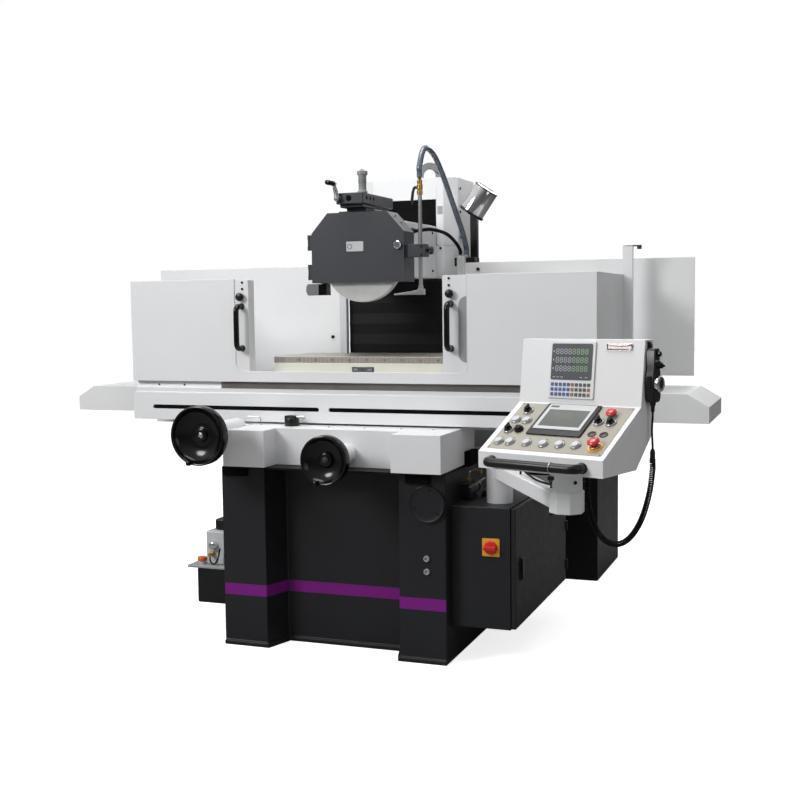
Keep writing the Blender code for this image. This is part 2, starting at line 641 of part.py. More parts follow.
def make_splash_guard(table_body):
    half, front, back = TABLE_HALF, TABLE_FRONT, TABLE_BACK

    def channel(width):
        inner = half - width
        return [(-half, front), (half, front), (half, back), (inner, back),
                (inner, front + width), (-inner, front + width), (-inner, back),
                (-half, back)]

    guard = place(prism(channel(SHEET), "Z", TABLE_TOP + GAP / 2, GUARD_TOP),
                  "splash_guard", "white_paint", table_body)
    fuse(guard, prism(channel(FLANGE_WIDTH), "Z", TABLE_TOP + GAP / 2,
                      TABLE_TOP + SHEET))
    left, right = GUARD_OPENING
    r = OPENING_RADIUS
    opening = [(right, GUARD_TOP + 0.010), (left, GUARD_TOP + 0.010)]
    opening += arc((left + r, APRON_TOP + r), r, 180, 270, 4)
    opening += arc((right - r, APRON_TOP + r), r, 270, 360, 4)
    cut(guard, prism(opening, "Y", front - 0.010, front + SHEET + 0.010))
    fuse(guard, block((half - SHEET, half + 0.040), (back - SHEET, back + 0.016),
                      (TABLE_TOP + GAP / 2, HOOK_POST_TOP)))
    for name, edge, side in (("left", LEFT_DOOR_EDGE, -1), ("right", RIGHT_DOOR_EDGE, 1)):
        slide = body(f"{name}_door", (edge, front, TABLE_TOP), "table")
        x = sorted((edge, edge + side * GUARD_DOOR_WIDTH))
        y = (front + SHEET + GAP, front + 2 * SHEET)
        place(block(x, y, (TABLE_TOP + SHEET + GAP, GUARD_TOP - 0.003)),
              f"{name}_guard_door", "white_paint", slide)
        make_grip(f"{name}_door_grip", edge + side * GRIP_INSET, y[0] - GAP, slide)


def make_grip(name, x, seat, on):
    """A D-shaped pull handle that stands on a vertical face."""
    r, low = GRIP_STANDOFF / 2, GRIP_MIDDLE - GRIP_LENGTH / 2
    high = low + GRIP_LENGTH
    bend = [(seat, low), (seat - r, low)]
    bend += arc((seat - r, low + r), r, 270, 180, 3)[1:]
    bend += arc((seat - r, high - r), r, 180, 90, 3)
    bend += [(seat, high)]
    tube([(x, y, z) for y, z in bend], GRIP_RADIUS, name, "black_plastic", on)


# ---------------------------------------------------------------- wheel head
def guard_outline(shrink=0.0):
    (left, right), (low, high) = GUARD_X, GUARD_Z
    dx, dz = GUARD_CUT
    left, right, high = left + shrink, right - shrink, high - shrink
    return [(left, low), (right, low), (right, high - dz), (right - dx, high),
            (left + dx, high), (left, high - dz)]


def make_head():
    head = body("wheel_head", (0, COLUMN_FRONT, HEAD_Z[0]), "root")
    snout = place(block(HEAD_X, HEAD_Y, HEAD_Z), "wheel_head", "white_paint", head)
    cut(snout, drum(SPINDLE_RADIUS + SPINDLE_CLEARANCE,
                    (0, HEAD_Y[0] - 0.010, WHEEL_AXIS_Z), (0, 1, 0), 0.400))
    wall = 0.022
    cut(snout, block((HEAD_X[0] + wall, HEAD_X[1] - wall),
                     (HEAD_Y[0] + 0.150, HEAD_Y[1] + wall),
                     (HEAD_Z[0] + wall, HEAD_Z[1] - wall)))
    back = HEAD_Y[0] - GAP
    face = GUARD_FRONT + COVER_THICK + GAP
    guard = place(prism(guard_outline(), "Y", face, back), "wheel_guard",
                  "dark_grey_paint", head)
    hollow = [(x, z - (0.050 if z == GUARD_Z[0] else 0))
              for x, z in guard_outline(GUARD_WALL)]
    cut(guard, prism(hollow, "Y", face - 0.010, back - GUARD_WALL))
    cut(guard, drum(SPINDLE_RADIUS + 0.004, (0, back - 0.020, WHEEL_AXIS_Z),
                    (0, 1, 0), 0.040))
    fuse(guard, block((GUARD_X[1] - 0.002, PIPE_X + 0.030),
                      (face + 0.002, face + 0.050), CLAMP_Z))
    make_spindle(head)
    make_guard_cover(head)
    make_dresser(head)
    make_pipe(head, face)


def make_spindle(head):
    z = WHEEL_AXIS_Z
    spin = body("spindle", (0, WHEEL_FRONT, z), head)
    y = WHEEL_FRONT
    seat = 0.026
    profile = [(0, -0.006), (0.018, -0.006), (0.018, 0.002), (seat, 0.002),
               (seat, WHEEL_WIDTH + GAP), (HUB_RADIUS, WHEEL_WIDTH + GAP),
               (HUB_RADIUS, WHEEL_WIDTH + 0.012), (SPINDLE_RADIUS, WHEEL_WIDTH + 0.014),
               (SPINDLE_RADIUS, 0.470), (0, 0.470)]
    place(turned(profile, (0, y, z), (0, 1, 0), 24), "spindle", "steel", spin)
    bore = seat + GAP
    r = WHEEL_RADIUS
    ring = [(bore, 0), (r - 0.002, 0), (r, 0.002), (r, WHEEL_WIDTH - 0.002),
            (r - 0.002, WHEEL_WIDTH), (bore, WHEEL_WIDTH), (bore, 0)]
    wheel = turned(ring, (0, y, z), (0, 1, 0), 48)
    bmesh.ops.remove_doubles(wheel, verts=wheel.verts, dist=1e-6)
    place(wheel, "grinding_wheel", "abrasive", spin)


def make_guard_cover(head):
    pin = (GUARD_X[0] - 0.012, GUARD_FRONT + COVER_THICK / 2)
    swing = body("guard_cover", (*pin, WHEEL_AXIS_Z + 0.0545), head)
    back = GUARD_FRONT + COVER_THICK
    cover = place(prism(guard_outline(), "Y", GUARD_FRONT, back), "guard_cover",
                  "dark_grey_paint", swing)
    for z in HINGE_Z:
        fuse(cover, block((pin[0], GUARD_X[0] + 0.004), (GUARD_FRONT, back),
                          (z, z + HINGE_LENGTH)))
        fuse(cover, drum(0.0080, (*pin, z), (0, 0, 1), HINGE_LENGTH, 12))
    x, z = LOCK_AT
    lock = body("cover_lock", (x, GUARD_FRONT, z), swing)
    place(turned([(0, 0), (0.015, 0), (0.015, 0.008), (0.011, 0.012), (0, 0.012)],
                 (x, GUARD_FRONT - GAP, z), (0, -1, 0), 20),
          "cover_lock", "steel", lock)


def make_dresser(head):
    """The wheel dresser on top of the guard, with its feed crank."""
    x, y, z = DRESSER_X, DRESSER_Y, DRESSER_Z
    dresser = place(block(x, y, z), "dresser", "dark_grey_paint", head)
    fuse(dresser, block((x[0] + 0.018, x[1] - 0.012), (y[0] + 0.065, y[0] + 0.160),
                        (GUARD_Z[1] + GAP, z[0] + 0.001)))
    fuse(dresser, turned([(0, 0), (0.017, 0), (0.017, 0.070), (0.021, 0.074),
                          (0.021, 0.096), (0, 0.096)],
                         (x[1] - 0.016, y[0] + 0.035, z[1] - 0.001), (0, 0, 1), 16))
    at = Vector((DRESSER_CRANK[0], y[0] - GAP, DRESSER_CRANK[1]))
    turn = body("dresser_crank", at, head)
    crank = place(drum(0.011, at, (0, -1, 0), 0.024, 12), "dresser_crank",
                  "steel", turn)
    arm = Vector((-0.012, 0, 0.064))
    tip = at + Vector((0, -0.012, 0)) + arm
    side = Vector((0.009, 0, 0.002))
    corners = [at + Vector((0, -0.012, 0)) - side, at + Vector((0, -0.012, 0)) + side,
               tip + 0.8 * side, tip - 0.8 * side]
    fuse(crank, prism([(p.x, p.z) for p in corners], "Y", at.y - 0.022,
                      at.y - 0.010))
    fuse(crank, drum(0.010, (tip.x, at.y - 0.012, tip.z - 0.006), (0, -1, 0),
                     0.056, 12))


def make_pipe(head, face):
    """Coolant pipe with its nozzle and valve, held in the guard's clamp."""
    x, y = PIPE_X, face + 0.026
    guard = bpy.data.objects["wheel_guard"]
    cut(guard, drum(PIPE_RADIUS + GAP, (x, y, CLAMP_Z[0] - 0.010), (0, 0, 1),
                    0.080, 16))
    low, high = PIPE_Z
    profile = [(0, low), (PIPE_RADIUS, low), (PIPE_RADIUS, high), (0.011, high),
               (0.011, high + 0.058), (0.007, high + 0.058), (0.007, high + 0.072),
               (0, high + 0.072)]
    pipe = place(turned(profile, (x, y, 0), (0, 0, 1), 16), "coolant_pipe",
                 "steel", head)
    nozzle = [(x - 0.118, low - 0.022), (x + 0.016, low - 0.022),
              (x + 0.016, low + 0.006), (x - 0.010, low + 0.006)]
    fuse(pipe, prism(nozzle, "Y", y - 0.014, y + 0.014))
    turn = body("valve_lever", (x, y, high + 0.030), head)
    lever = place(drum(0.006, (x - 0.0113, y, high + 0.030), (-1, 0, 0), 0.014, 12),
                  "valve_lever", "black_plastic", turn)
    sweep = [(x - 0.016, high + 0.036), (x - 0.030, high + 0.030),
             (x - 0.040, high - 0.040), (x - 0.030, high - 0.042),
             (x - 0.022, high + 0.022)]
    fuse(lever, prism(sweep, "Y", y - 0.007, y + 0.007))
    at = (x + 0.030 + GAP, y, sum(CLAMP_Z) / 2)
    knob = body("clamp_knob", at, head)
    place(turned([(0, 0), (0.005, 0), (0.005, 0.008), (0.015, 0.009),
                  (0.017, 0.020), (0.012, 0.026), (0, 0.026)], at, (1, 0, 0), 12),
          "clamp_knob", "black_plastic", knob)
    make_lines(x, y, high)


def make_lines(x, y, high):
    """The coolant hose and the head's cable, down to the lamp post's bracket."""
    end, foot, seat = HOSE_SEAT_X, HOSE_SEAT_Y, HOSE_SEAT_Z
    route = [(x, y, high + 0.072 + GAP), (x, y, high + 0.095), (x, y, high + 0.120),
             (x + 0.004, 0.440, high + 0.195), (x + 0.012, 0.540, high + 0.183),
             (x + 0.021, 0.660, high + 0.087), (x + 0.027, 0.780, high - 0.030),
             (end + 0.004, foot - 0.072, seat + 0.115), (end, foot, seat + 0.045),
             (end, foot, seat + 0.022), (end, foot, seat + GAP)]
    tube(smooth_path(route, 4), 0.0125, "coolant_hose", "hose_plastic", "root", 2)
    out, level, end = HEAD_X[1], HEAD_Z[1] - 0.040, CABLE_SEAT_X
    route = [(out + GAP, 0.620, level), (out + 0.015, 0.620, level),
             (out + 0.032, 0.620, level), (out + 0.074, 0.680, level + 0.007),
             (end - 0.013, 0.800, seat + 0.102), (end, foot - 0.062, seat + 0.064),
             (end, foot, seat + 0.032), (end, foot, seat + 0.016),
             (end, foot, seat + GAP)]
    tube(smooth_path(route, 3), 0.0080, "head_cable", "black_rubber", "root", 2)


# ------------------------------------------------------------------- console
def console_point(u, v, z):
    """A console place: u right of its middle and v behind the hub's axis."""
    c, s = cos(CONSOLE_YAW), sin(CONSOLE_YAW)
    u += CONSOLE_SHIFT
    return Vector((HUB_AT[0] + c * u - s * v, HUB_AT[1] + s * u + c * v, z))


def to_console(bm):
    """Turn a bmesh made about the console's middle into its place."""
    turn = Matrix.Rotation(CONSOLE_YAW, 4, "Z") @ Matrix.Translation(
        (CONSOLE_SHIFT, 0, 0))
    bmesh.ops.transform(bm, verts=bm.verts,
                        matrix=Matrix.Translation((*HUB_AT, 0)) @ turn)
    return bm


DESK_SLOPE = (DESK_Z[1] - DESK_Z[0]) / DESK_RUN
DESK_NORMAL = Vector((0, -DESK_SLOPE, 1)).normalized()


def on_desk(u, along):
    """A place on the desk face, a distance up the slope from its front edge."""
    run = along / (1 + DESK_SLOPE ** 2) ** 0.5
    return Vector((u, CONSOLE_FRONT_V + run, DESK_Z[0] + DESK_SLOPE * run))


def make_console():
    arm_body = body("console_arm", (*POST_AT, ARM_Z[0]), "root")
    post, hub = Vector((*POST_AT, 0)), Vector((*HUB_AT, 0))
    side = (hub - post).normalized().cross(Vector((0, 0, 1))) * ARM_WIDTH / 2
    corners = [post + side, hub + side, hub - side, post - side]
    arm = place(prism([(p.x, p.y) for p in corners], "Z", *ARM_Z), "console_arm",
                "white_paint", arm_body)
    fuse(arm, drum(POST_RADIUS, (*POST_AT, CABINET_Z[1] + GAP), (0, 0, 1),
                   ARM_Z[1] - CABINET_Z[1] - GAP))
    fuse(arm, drum(HUB_BOSS, (*HUB_AT, ARM_Z[0]), (0, 0, 1),
                   CONSOLE_BOTTOM - ARM_Z[0] - GAP))
    desk = body("console", (*HUB_AT, CONSOLE_BOTTOM), arm_body)
    v = CONSOLE_FRONT_V
    crease, lean = v + DESK_RUN, v + DESK_RUN + PANEL_LEAN
    side_view = [(v, CONSOLE_BOTTOM), (v + 0.218, CONSOLE_BOTTOM),
                 (v + 0.323, CONSOLE_BOTTOM + 0.101),
                 (lean + CONSOLE_TOP_DEPTH, CONSOLE_TOP),
                 (lean, CONSOLE_TOP), (crease, DESK_Z[1]), (v, DESK_Z[0])]
    half = CONSOLE_WIDTH / 2
    box = place(to_console(prism(side_view, "X", -half, half)), "console_box",
                "white_paint", desk)
    w = CONSOLE_WALL
    low = [(v + w, CONSOLE_BOTTOM + w), (v + 0.214, CONSOLE_BOTTOM + w),
           (v + 0.305, CONSOLE_BOTTOM + 0.098), (lean, DESK_Z[1] - w), (crease, DESK_Z[1] - 2 * w),
           (v + w, DESK_Z[0] - w / 2)]
    cut(box, to_console(prism(low, "X", -half + w, half - w)))
    floor = CONSOLE_BOTTOM + 0.109
    high = [(lean, floor), (lean + 0.200, floor), (lean + 0.200, CONSOLE_TOP - 3 * w),
            (lean + w, CONSOLE_TOP - 3 * w)]
    cut(box, to_console(prism(high, "X", -half + 4 * w, half - 4 * w)))
    make_console_handle(desk)
    make_controls(desk)
    make_pendant(desk)


def make_console_handle(desk):
    front, z, r = CONSOLE_FRONT_V - GAP, HANDLE_Z, HANDLE_RADIUS + 0.009
    (left, right), out = HANDLE_ENDS, CONSOLE_FRONT_V - GAP - HANDLE_OUT
    bar = [(left, front), (left, out + r)]
    bar += arc((left + r, out + r), r, 180, 270, 4)
    bar += arc((right - r, out + r), r, 270, 360, 4)
    bar += [(right, front)]
    points = [console_point(u, v, z) for u, v in bar]
    tube(points, HANDLE_RADIUS, "console_handle", "black_plastic", desk)


def control(name, u, along, profile, material, desk, pressed=False):
    """A round control on the desk, on a body of its own.

    One that turns stands on the desk's face.  One that is pressed has its foot
    in a socket of the box, deep enough for its travel.
    """
    sides, foot_radius = 14, profile[1][0]
    foot = on_desk(u * SPREAD, along) + DESK_NORMAL * (-PRESS_SEAT if pressed else GAP)
    moves = body(name, console_point(*foot), desk)
    stem = to_console(turned(profile, foot, DESK_NORMAL, sides))
    if pressed:
        floor = foot - DESK_NORMAL * (PRESS_TRAVEL + GAP)
        socket = drum(foot_radius + PRESS_CLEARANCE, floor, DESK_NORMAL, 0.010, sides)
        cut(bpy.data.objects["console_box"], to_console(socket))
    return place(stem, name, material, moves)


def make_controls(desk):
    r, h = BUTTON_RADIUS, BUTTON_HEIGHT
    flat = [(0, 0), (r, 0), (r, h - 0.002), (r - 0.002, h), (0, h)]
    row = [(-0.181, 0.056), (-0.138, 0.056), (-0.075, 0.057), (-0.0125, 0.058),
           (0.046, 0.060), (0.104, 0.062), (-0.181, 0.178), (-0.139, 0.178)]
    for number, (u, along) in enumerate(row, 1):
        control(f"push_button_{number}", u, along, flat, "grey_plastic", desk, True)
    twist = [(0, 0), (r, 0), (r, 0.010), (0.008, 0.012), (0.006, 0.026), (0, 0.026)]
    for number, (u, along) in enumerate(
            [(-0.179, 0.121), (-0.1625, 0.232), (0.124, 0.191), (0.168, 0.191)], 1):
        control(f"selector_{number}", u, along, twist, "black_plastic", desk)
    control("speed_knob", -0.140, 0.125,
            [(0, 0), (0.016, 0), (0.013, 0.018), (0, 0.018)], "black_plastic", desk)
    control("feed_button", 0.154, 0.232,
            [(0, 0), (0.010, 0), (0.010, 0.010), (0.019, 0.012), (0.019, 0.018),
             (0.012, 0.024), (0, 0.024)], "red_plastic", desk, True)
    control("stop_button", 0.172, 0.064,
            [(0, 0), (0.012, 0), (0.012, 0.014), (0.021, 0.016), (0.021, 0.024),
             (0.012, 0.032), (0, 0.032)], "red_plastic", desk, True)


def make_pendant(desk):
    """Hand-held jog unit that hangs on the console's right side."""
    half = CONSOLE_WIDTH / 2
    side = half + GAP
    v, thick = (0.070, 0.124), 0.034
    low, high = PENDANT_Z
    unit = place(to_console(block((side, side + thick), v, (low, high))),
                 "pendant", "black_plastic", desk)
    round_off(unit, 0.006)
    middle = Vector((side + thick + GAP, sum(v) / 2, low + 0.060))
    dial = body("pendant_dial", console_point(*middle), desk)
    place(to_console(turned([(0, 0), (0.026, 0), (0.026, 0.010), (0.022, 0.014),
                             (0, 0.014)], middle, (1, 0, 0), 20)),
          "pendant_dial", "steel", dial)
    u, w = side + thick / 2, sum(v) / 2
    coil_top, under = low - 0.170, CONSOLE_BOTTOM
    lead = [(u, w, low - GAP), (u, w, low - 0.020), (u, w, low - 0.040),
            (u - 0.002, w - 0.001, low - 0.090), (u, w, coil_top + 0.030),
            (u, w, coil_top + 0.015), (u, w, coil_top)]
    tube([console_point(*p) for p in smooth_path(lead, 3)], 0.0035, "pendant_lead",
         "black_rubber", desk)
    coil = [(u, w, coil_top - GAP), (u, w, coil_top - 0.025),
            (u, w, coil_top - 0.050), (u - 0.012, w, under - 0.087),
            (u - 0.040, w, under - 0.175), (u - 0.082, w, under - 0.239),
            (u - 0.130, w, under - 0.265), (u - 0.180, w, under - 0.251),
            (u - 0.218, w, under - 0.197), (u - 0.236, w - 0.002, under - 0.127),
            (u - 0.238, w - 0.002, under - 0.067), (u - 0.238, w - 0.002, under - 0.037),
            (u - 0.238, w - 0.002, under - GAP)]
    points = [console_point(*p) for p in smooth_path(coil, 3)]
    tube(points, 0.0105, "pendant_coil", "black_rubber", desk)


# ---------------------------------------------------------------------- make
def main():
    for thing in list(bpy.data.objects):
        bpy.data.objects.remove(thing)
    make_materials()
    body("root")
    make_base()
    make_column()
    make_rear_guard()
    make_bellows()
    make_cabinet()
    make_units()
    make_lamp()
    make_saddle()
    make_handwheels()
    make_table()
    make_head()
    make_console()


main()
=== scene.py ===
"""The surface grinder's looks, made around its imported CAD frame.

Metres, X along the table, Y from the front to the back and Z up, with the
origin on the floor under the middle of the base.  Every piece is modelled in
place and rides on the CAD body that carries it.
"""

import json
from math import atan2, cos, pi, radians, sin

import bmesh
import bpy
from mathutils import Matrix, Vector

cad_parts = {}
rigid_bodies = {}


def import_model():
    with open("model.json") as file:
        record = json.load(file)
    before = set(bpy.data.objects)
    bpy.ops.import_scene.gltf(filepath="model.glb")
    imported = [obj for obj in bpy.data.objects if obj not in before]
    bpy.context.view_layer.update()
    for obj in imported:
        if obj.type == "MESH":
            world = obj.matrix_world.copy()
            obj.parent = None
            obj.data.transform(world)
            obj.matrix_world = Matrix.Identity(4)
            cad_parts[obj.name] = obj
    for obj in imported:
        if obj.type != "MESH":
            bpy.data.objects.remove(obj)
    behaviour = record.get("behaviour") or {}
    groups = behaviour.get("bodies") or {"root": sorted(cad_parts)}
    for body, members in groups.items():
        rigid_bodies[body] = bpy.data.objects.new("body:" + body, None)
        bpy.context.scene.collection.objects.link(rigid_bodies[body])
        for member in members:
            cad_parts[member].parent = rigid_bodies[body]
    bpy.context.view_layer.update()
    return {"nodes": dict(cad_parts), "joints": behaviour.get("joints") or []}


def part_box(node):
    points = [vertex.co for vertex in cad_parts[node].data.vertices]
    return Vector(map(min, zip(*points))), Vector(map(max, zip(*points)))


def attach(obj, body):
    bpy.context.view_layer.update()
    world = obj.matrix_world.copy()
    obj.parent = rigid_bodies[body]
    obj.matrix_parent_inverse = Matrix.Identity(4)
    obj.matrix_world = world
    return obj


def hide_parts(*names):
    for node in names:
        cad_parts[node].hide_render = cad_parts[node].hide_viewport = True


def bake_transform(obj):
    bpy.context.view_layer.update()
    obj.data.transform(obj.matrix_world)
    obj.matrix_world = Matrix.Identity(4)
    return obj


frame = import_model()

nodes = frame["nodes"]
joints = {joint["name"]: joint for joint in frame["joints"]}
GAP = 0.0003                  # a hair between two parts that rest on each other
SKIN = 0.0006                 # how far a thin plate or label stands off its face
UP, TO_FRONT, TO_BACK, TO_LEFT, TO_RIGHT = (0, 0, 1), (0, -1, 0), (0, 1, 0), (-1, 0, 0), (1, 0, 0)


def joint_at(name):
    return Vector(joints[name]["pos_m"])


def mm(*points):
    """A profile's (radius, distance) points, given in millimetres."""
    return [tuple(value / 1000 for value in point) for point in points]


def top_corner(name):
    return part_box(name)[1]


# ================================================================ materials
def shader_tree(name):
    made = bpy.data.materials.new(name)
    made.use_nodes = True
    tree = made.node_tree
    return made, tree, tree.nodes["Principled BSDF"]


def feed(tree, made, inputs):
    """Set a node's inputs; a (node, output) pair is linked instead."""
    for socket, value in inputs.items():
        if isinstance(value, tuple) and isinstance(value[0], bpy.types.Node):
            tree.links.new(value[0].outputs[value[1]], made.inputs[socket])
        else:
            made.inputs[socket].default_value = value


def node(tree, kind, inputs, **settings):
    """Add a shader node with its settings and its inputs."""
    made = tree.nodes.new(f"ShaderNode{kind}")
    for setting, value in settings.items():
        setattr(made, setting, value)
    feed(tree, made, inputs)
    return made


def noise(tree, scale, detail=3.0, stretch=(1, 1, 1)):
    """Noise in metres, the same on every piece."""
    place = node(tree, "TexCoord", {})
    scaled = node(tree, "Mapping", {"Scale": stretch, "Vector": (place, "Object")})
    return node(tree, "TexNoise", {"Scale": scale, "Detail": detail, "Vector": (scaled, "Vector")})


def ramp(tree, source, *colours):
    """Colours that follow a noise, from its low values to its high ones."""
    made = node(tree, "ValToRGB", {"Fac": (source, "Fac")})
    for stop, at, colour in zip(made.color_ramp.elements, (0.3, 0.7), colours):
        stop.position = at
        stop.color = (*colour, 1)
    return made, "Color"


def spread(tree, source, low, high):
    limits = {"To Min": low, "To Max": high}
    return node(tree, "MapRange", {**limits, "Value": (source, "Fac")}), "Result"


def bump(tree, source, strength, distance):
    size = {"Strength": strength, "Distance": distance}
    return node(tree, "Bump", {**size, "Height": (source, "Fac")}), "Normal"


def surface(name, colour, rough=0.4, metallic=0.0, vary=0.05, patch=2.5, grain=(260.0, 0.12, 0.0004),
        rough_vary=0.07, stretch=(1, 1, 1), coat=0.0, shine=0.5):
    """A finish with slow colour drift, uneven gloss and a fine grain."""
    made, tree, shader = shader_tree(name)
    dark = tuple(c * (1 - vary) for c in colour)
    pale = tuple(min(1.0, c * (1 + vary)) for c in colour)
    gloss = noise(tree, patch * 9)
    scale, strength, depth = grain
    feed(tree, shader, {"Metallic": metallic, "Coat Weight": coat, "Coat Roughness": 0.12,
        "Specular IOR Level": shine, "Base Color": ramp(tree, noise(tree, patch, 4.0), dark, pale),
        "Roughness": spread(tree, gloss, rough - rough_vary, rough + rough_vary),
        "Normal": bump(tree, noise(tree, scale, 2.0, stretch), strength, depth)})
    return made


def pole_stripes():
    """The chuck's face: ground steel with brass bars between the poles."""
    made, tree, shader = shader_tree("chuck_face")
    pole_pitch, steel_part = 0.018, 0.7
    apart = node(tree, "SeparateXYZ", {"Vector": (node(tree, "TexCoord", {}), "Object")})
    pitch = node(tree, "Math", {0: (apart, "X"), 1: 1 / pole_pitch}, operation="MULTIPLY")
    part = node(tree, "Math", {0: (pitch, "Value")}, operation="FRACT")
    bar = node(tree, "Math", {0: (part, "Value"), 1: steel_part}, operation="GREATER_THAN")
    steel, brass = (0.4, 0.39, 0.38, 1), (0.42, 0.34, 0.24, 1)
    mixed = node(tree, "Mix", {"A": steel, "B": brass, "Factor": (bar, "Value")}, data_type="RGBA")
    lay = noise(tree, 40, 2.0, (1, 40, 40))
    feed(tree, shader, {"Base Color": (mixed, "Result"), "Metallic": 0.75,
        "Roughness": spread(tree, lay, 0.28, 0.5), "Normal": bump(tree, lay, 0.15, 0.0002)})
    return made


def clear_hose():
    """Blue-grey clear hose with a braid inside."""
    made, tree, shader = shader_tree("hose_pvc")
    braid = noise(tree, 90, 2.0)
    feed(tree, shader, {"Base Color": ramp(tree, braid, (0.09, 0.112, 0.155), (0.145, 0.175, 0.225)),
        "Roughness": 0.16, "Coat Weight": 0.35, "Transmission Weight": 0.08,
        "Normal": bump(tree, noise(tree, 300, 1.0), 0.1, 0.0004)})
    return made


FINE = (500.0, 0.1, 0.0002)
paints = {
    "white": surface("white_enamel", (0.74, 0.745, 0.755), 0.34, vary=0.025),
    "white_two": surface("white_sheet", (0.7, 0.705, 0.71), 0.38, vary=0.03),
    "post_grey": surface("post_enamel", (0.55, 0.56, 0.57), 0.4, vary=0.03),
    "cream": surface("cream_enamel", (0.66, 0.655, 0.57), 0.4, vary=0.04),
    "charcoal": surface("charcoal_enamel", (0.0125, 0.013, 0.015), 0.44, vary=0.16,
        grain=(180.0, 0.3, 0.0007), shine=0.3),
    "tank": surface("tank_enamel", (0.006, 0.0065, 0.007), 0.4, vary=0.18, grain=(180.0, 0.25, 0.0006),
        shine=0.3),
    "dark_grey": surface("guard_enamel", (0.038, 0.04, 0.048), 0.42, vary=0.09, grain=(220.0, 0.22, 0.0005),
        shine=0.35),
    "light_grey": surface("unit_enamel", (0.3, 0.31, 0.32), 0.42, vary=0.06),
    "purple": surface("stripe_vinyl", (0.185, 0.016, 0.2), 0.4, vary=0.06, grain=FINE, shine=0.1),
    # Dark grey-brown: partly the strip's own colour, partly painted shade from the splash guard above it.
    "shaded_edge_strip": surface("channel_strip_and_shade", (0.13, 0.118, 0.105), 0.45, vary=0.25, patch=6.0, grain=FINE),
    "black": surface("black_plastic", (0.0065, 0.0065, 0.007), 0.32, vary=0.12, grain=(420.0, 0.15, 0.0003),
        shine=0.35),
    "gloss_black": surface("phenolic_black", (0.003, 0.003, 0.0034), 0.18, vary=0.1, grain=FINE,
        rough_vary=0.05, coat=0.12, shine=0.25),
    "rubber": surface("black_rubber", (0.006, 0.006, 0.0062), 0.58, vary=0.18, grain=(300.0, 0.35, 0.0005),
        shine=0.15),
    "steel": surface("ground_steel", (0.4, 0.4, 0.41), 0.3, 1.0, vary=0.06, grain=(60.0, 0.12, 0.0002),
        stretch=(1, 30, 30)),
    "chrome": surface("bright_chrome", (0.68, 0.68, 0.7), 0.1, 1.0, vary=0.02, grain=FINE, rough_vary=0.03),
    "brushed": surface("brushed_aluminium", (0.68, 0.69, 0.7), 0.26, 1.0, vary=0.05,
        grain=(80.0, 0.15, 0.0002), stretch=(30, 30, 1)),
    "brass": surface("brass", (0.55, 0.36, 0.12), 0.28, 1.0, vary=0.1, grain=FINE),
    "copper": surface("copper_plate", (0.42, 0.25, 0.18), 0.34, 1.0, vary=0.08, grain=FINE),
    "abrasive": surface("white_abrasive", (0.56, 0.56, 0.55), 0.88, vary=0.07, patch=14.0,
        grain=(900.0, 0.9, 0.0012)),
    "wheel_blotter": surface("wheel_blotter", (0.16, 0.22, 0.36), 0.75, vary=0.1),
    "beige": surface("console_legend", (0.36, 0.335, 0.285), 0.5, vary=0.06, grain=FINE, shine=0.25),
    "bezel": surface("screen_bezel_grey", (0.5, 0.51, 0.52), 0.42, vary=0.04, grain=FINE),
    "button": surface("button_cap", (0.52, 0.53, 0.54), 0.34, vary=0.03, grain=FINE),
    "silver": surface("button_ring", (0.4, 0.41, 0.43), 0.28, 0.9, vary=0.06, grain=FINE),
    "red": surface("red_plastic", (0.55, 0.014, 0.012), 0.26, vary=0.08, grain=FINE, coat=0.3),
    "yellow": surface("yellow_plastic", (0.75, 0.33, 0.02), 0.35, vary=0.05, grain=FINE),
    "orange": surface("orange_plastic", (0.66, 0.13, 0.02), 0.35, vary=0.06, grain=FINE),
    "readout": surface("readout_face", (0.08, 0.086, 0.098), 0.3, vary=0.06, grain=FINE, shine=0.25),
    "segment": surface("segment_grey", (0.42, 0.43, 0.45), 0.35, vary=0.04, grain=FINE),
    "segment_lit": surface("segment_green", (0.27, 0.46, 0.23), 0.35, vary=0.04, grain=FINE),
    "key_blue": surface("key_blue", (0.045, 0.085, 0.26), 0.4, vary=0.05, grain=FINE),
    "key_orange": surface("key_orange", (0.26, 0.12, 0.05), 0.4, vary=0.05, grain=FINE),
    "key_grey": surface("key_grey", (0.06, 0.06, 0.065), 0.4, vary=0.05, grain=FINE),
    "screen": surface("screen_glass", (0.125, 0.13, 0.12), 0.2, vary=0.12, patch=9.0, grain=FINE,
        rough_vary=0.04, coat=0.15, shine=0.25),
    "lens": surface("lamp_lens", (0.75, 0.76, 0.76), 0.2, vary=0.03, grain=FINE, coat=0.8),
    # Near-black and dull: painted shade inside slots, grooves, holes, vents and the exhaust's mouth, and
    # under the saddle; also the black fill of the handwheels' graduations.
    "shade_and_ink": surface("shade_and_ink_black", (0.003, 0.003, 0.003), 0.8, vary=0.2, shine=0.08),
    "stub_grey": surface("stub_enamel", (0.15, 0.155, 0.16), 0.42, vary=0.08),
    "chuck": pole_stripes(),
    "hose": clear_hose(),
}


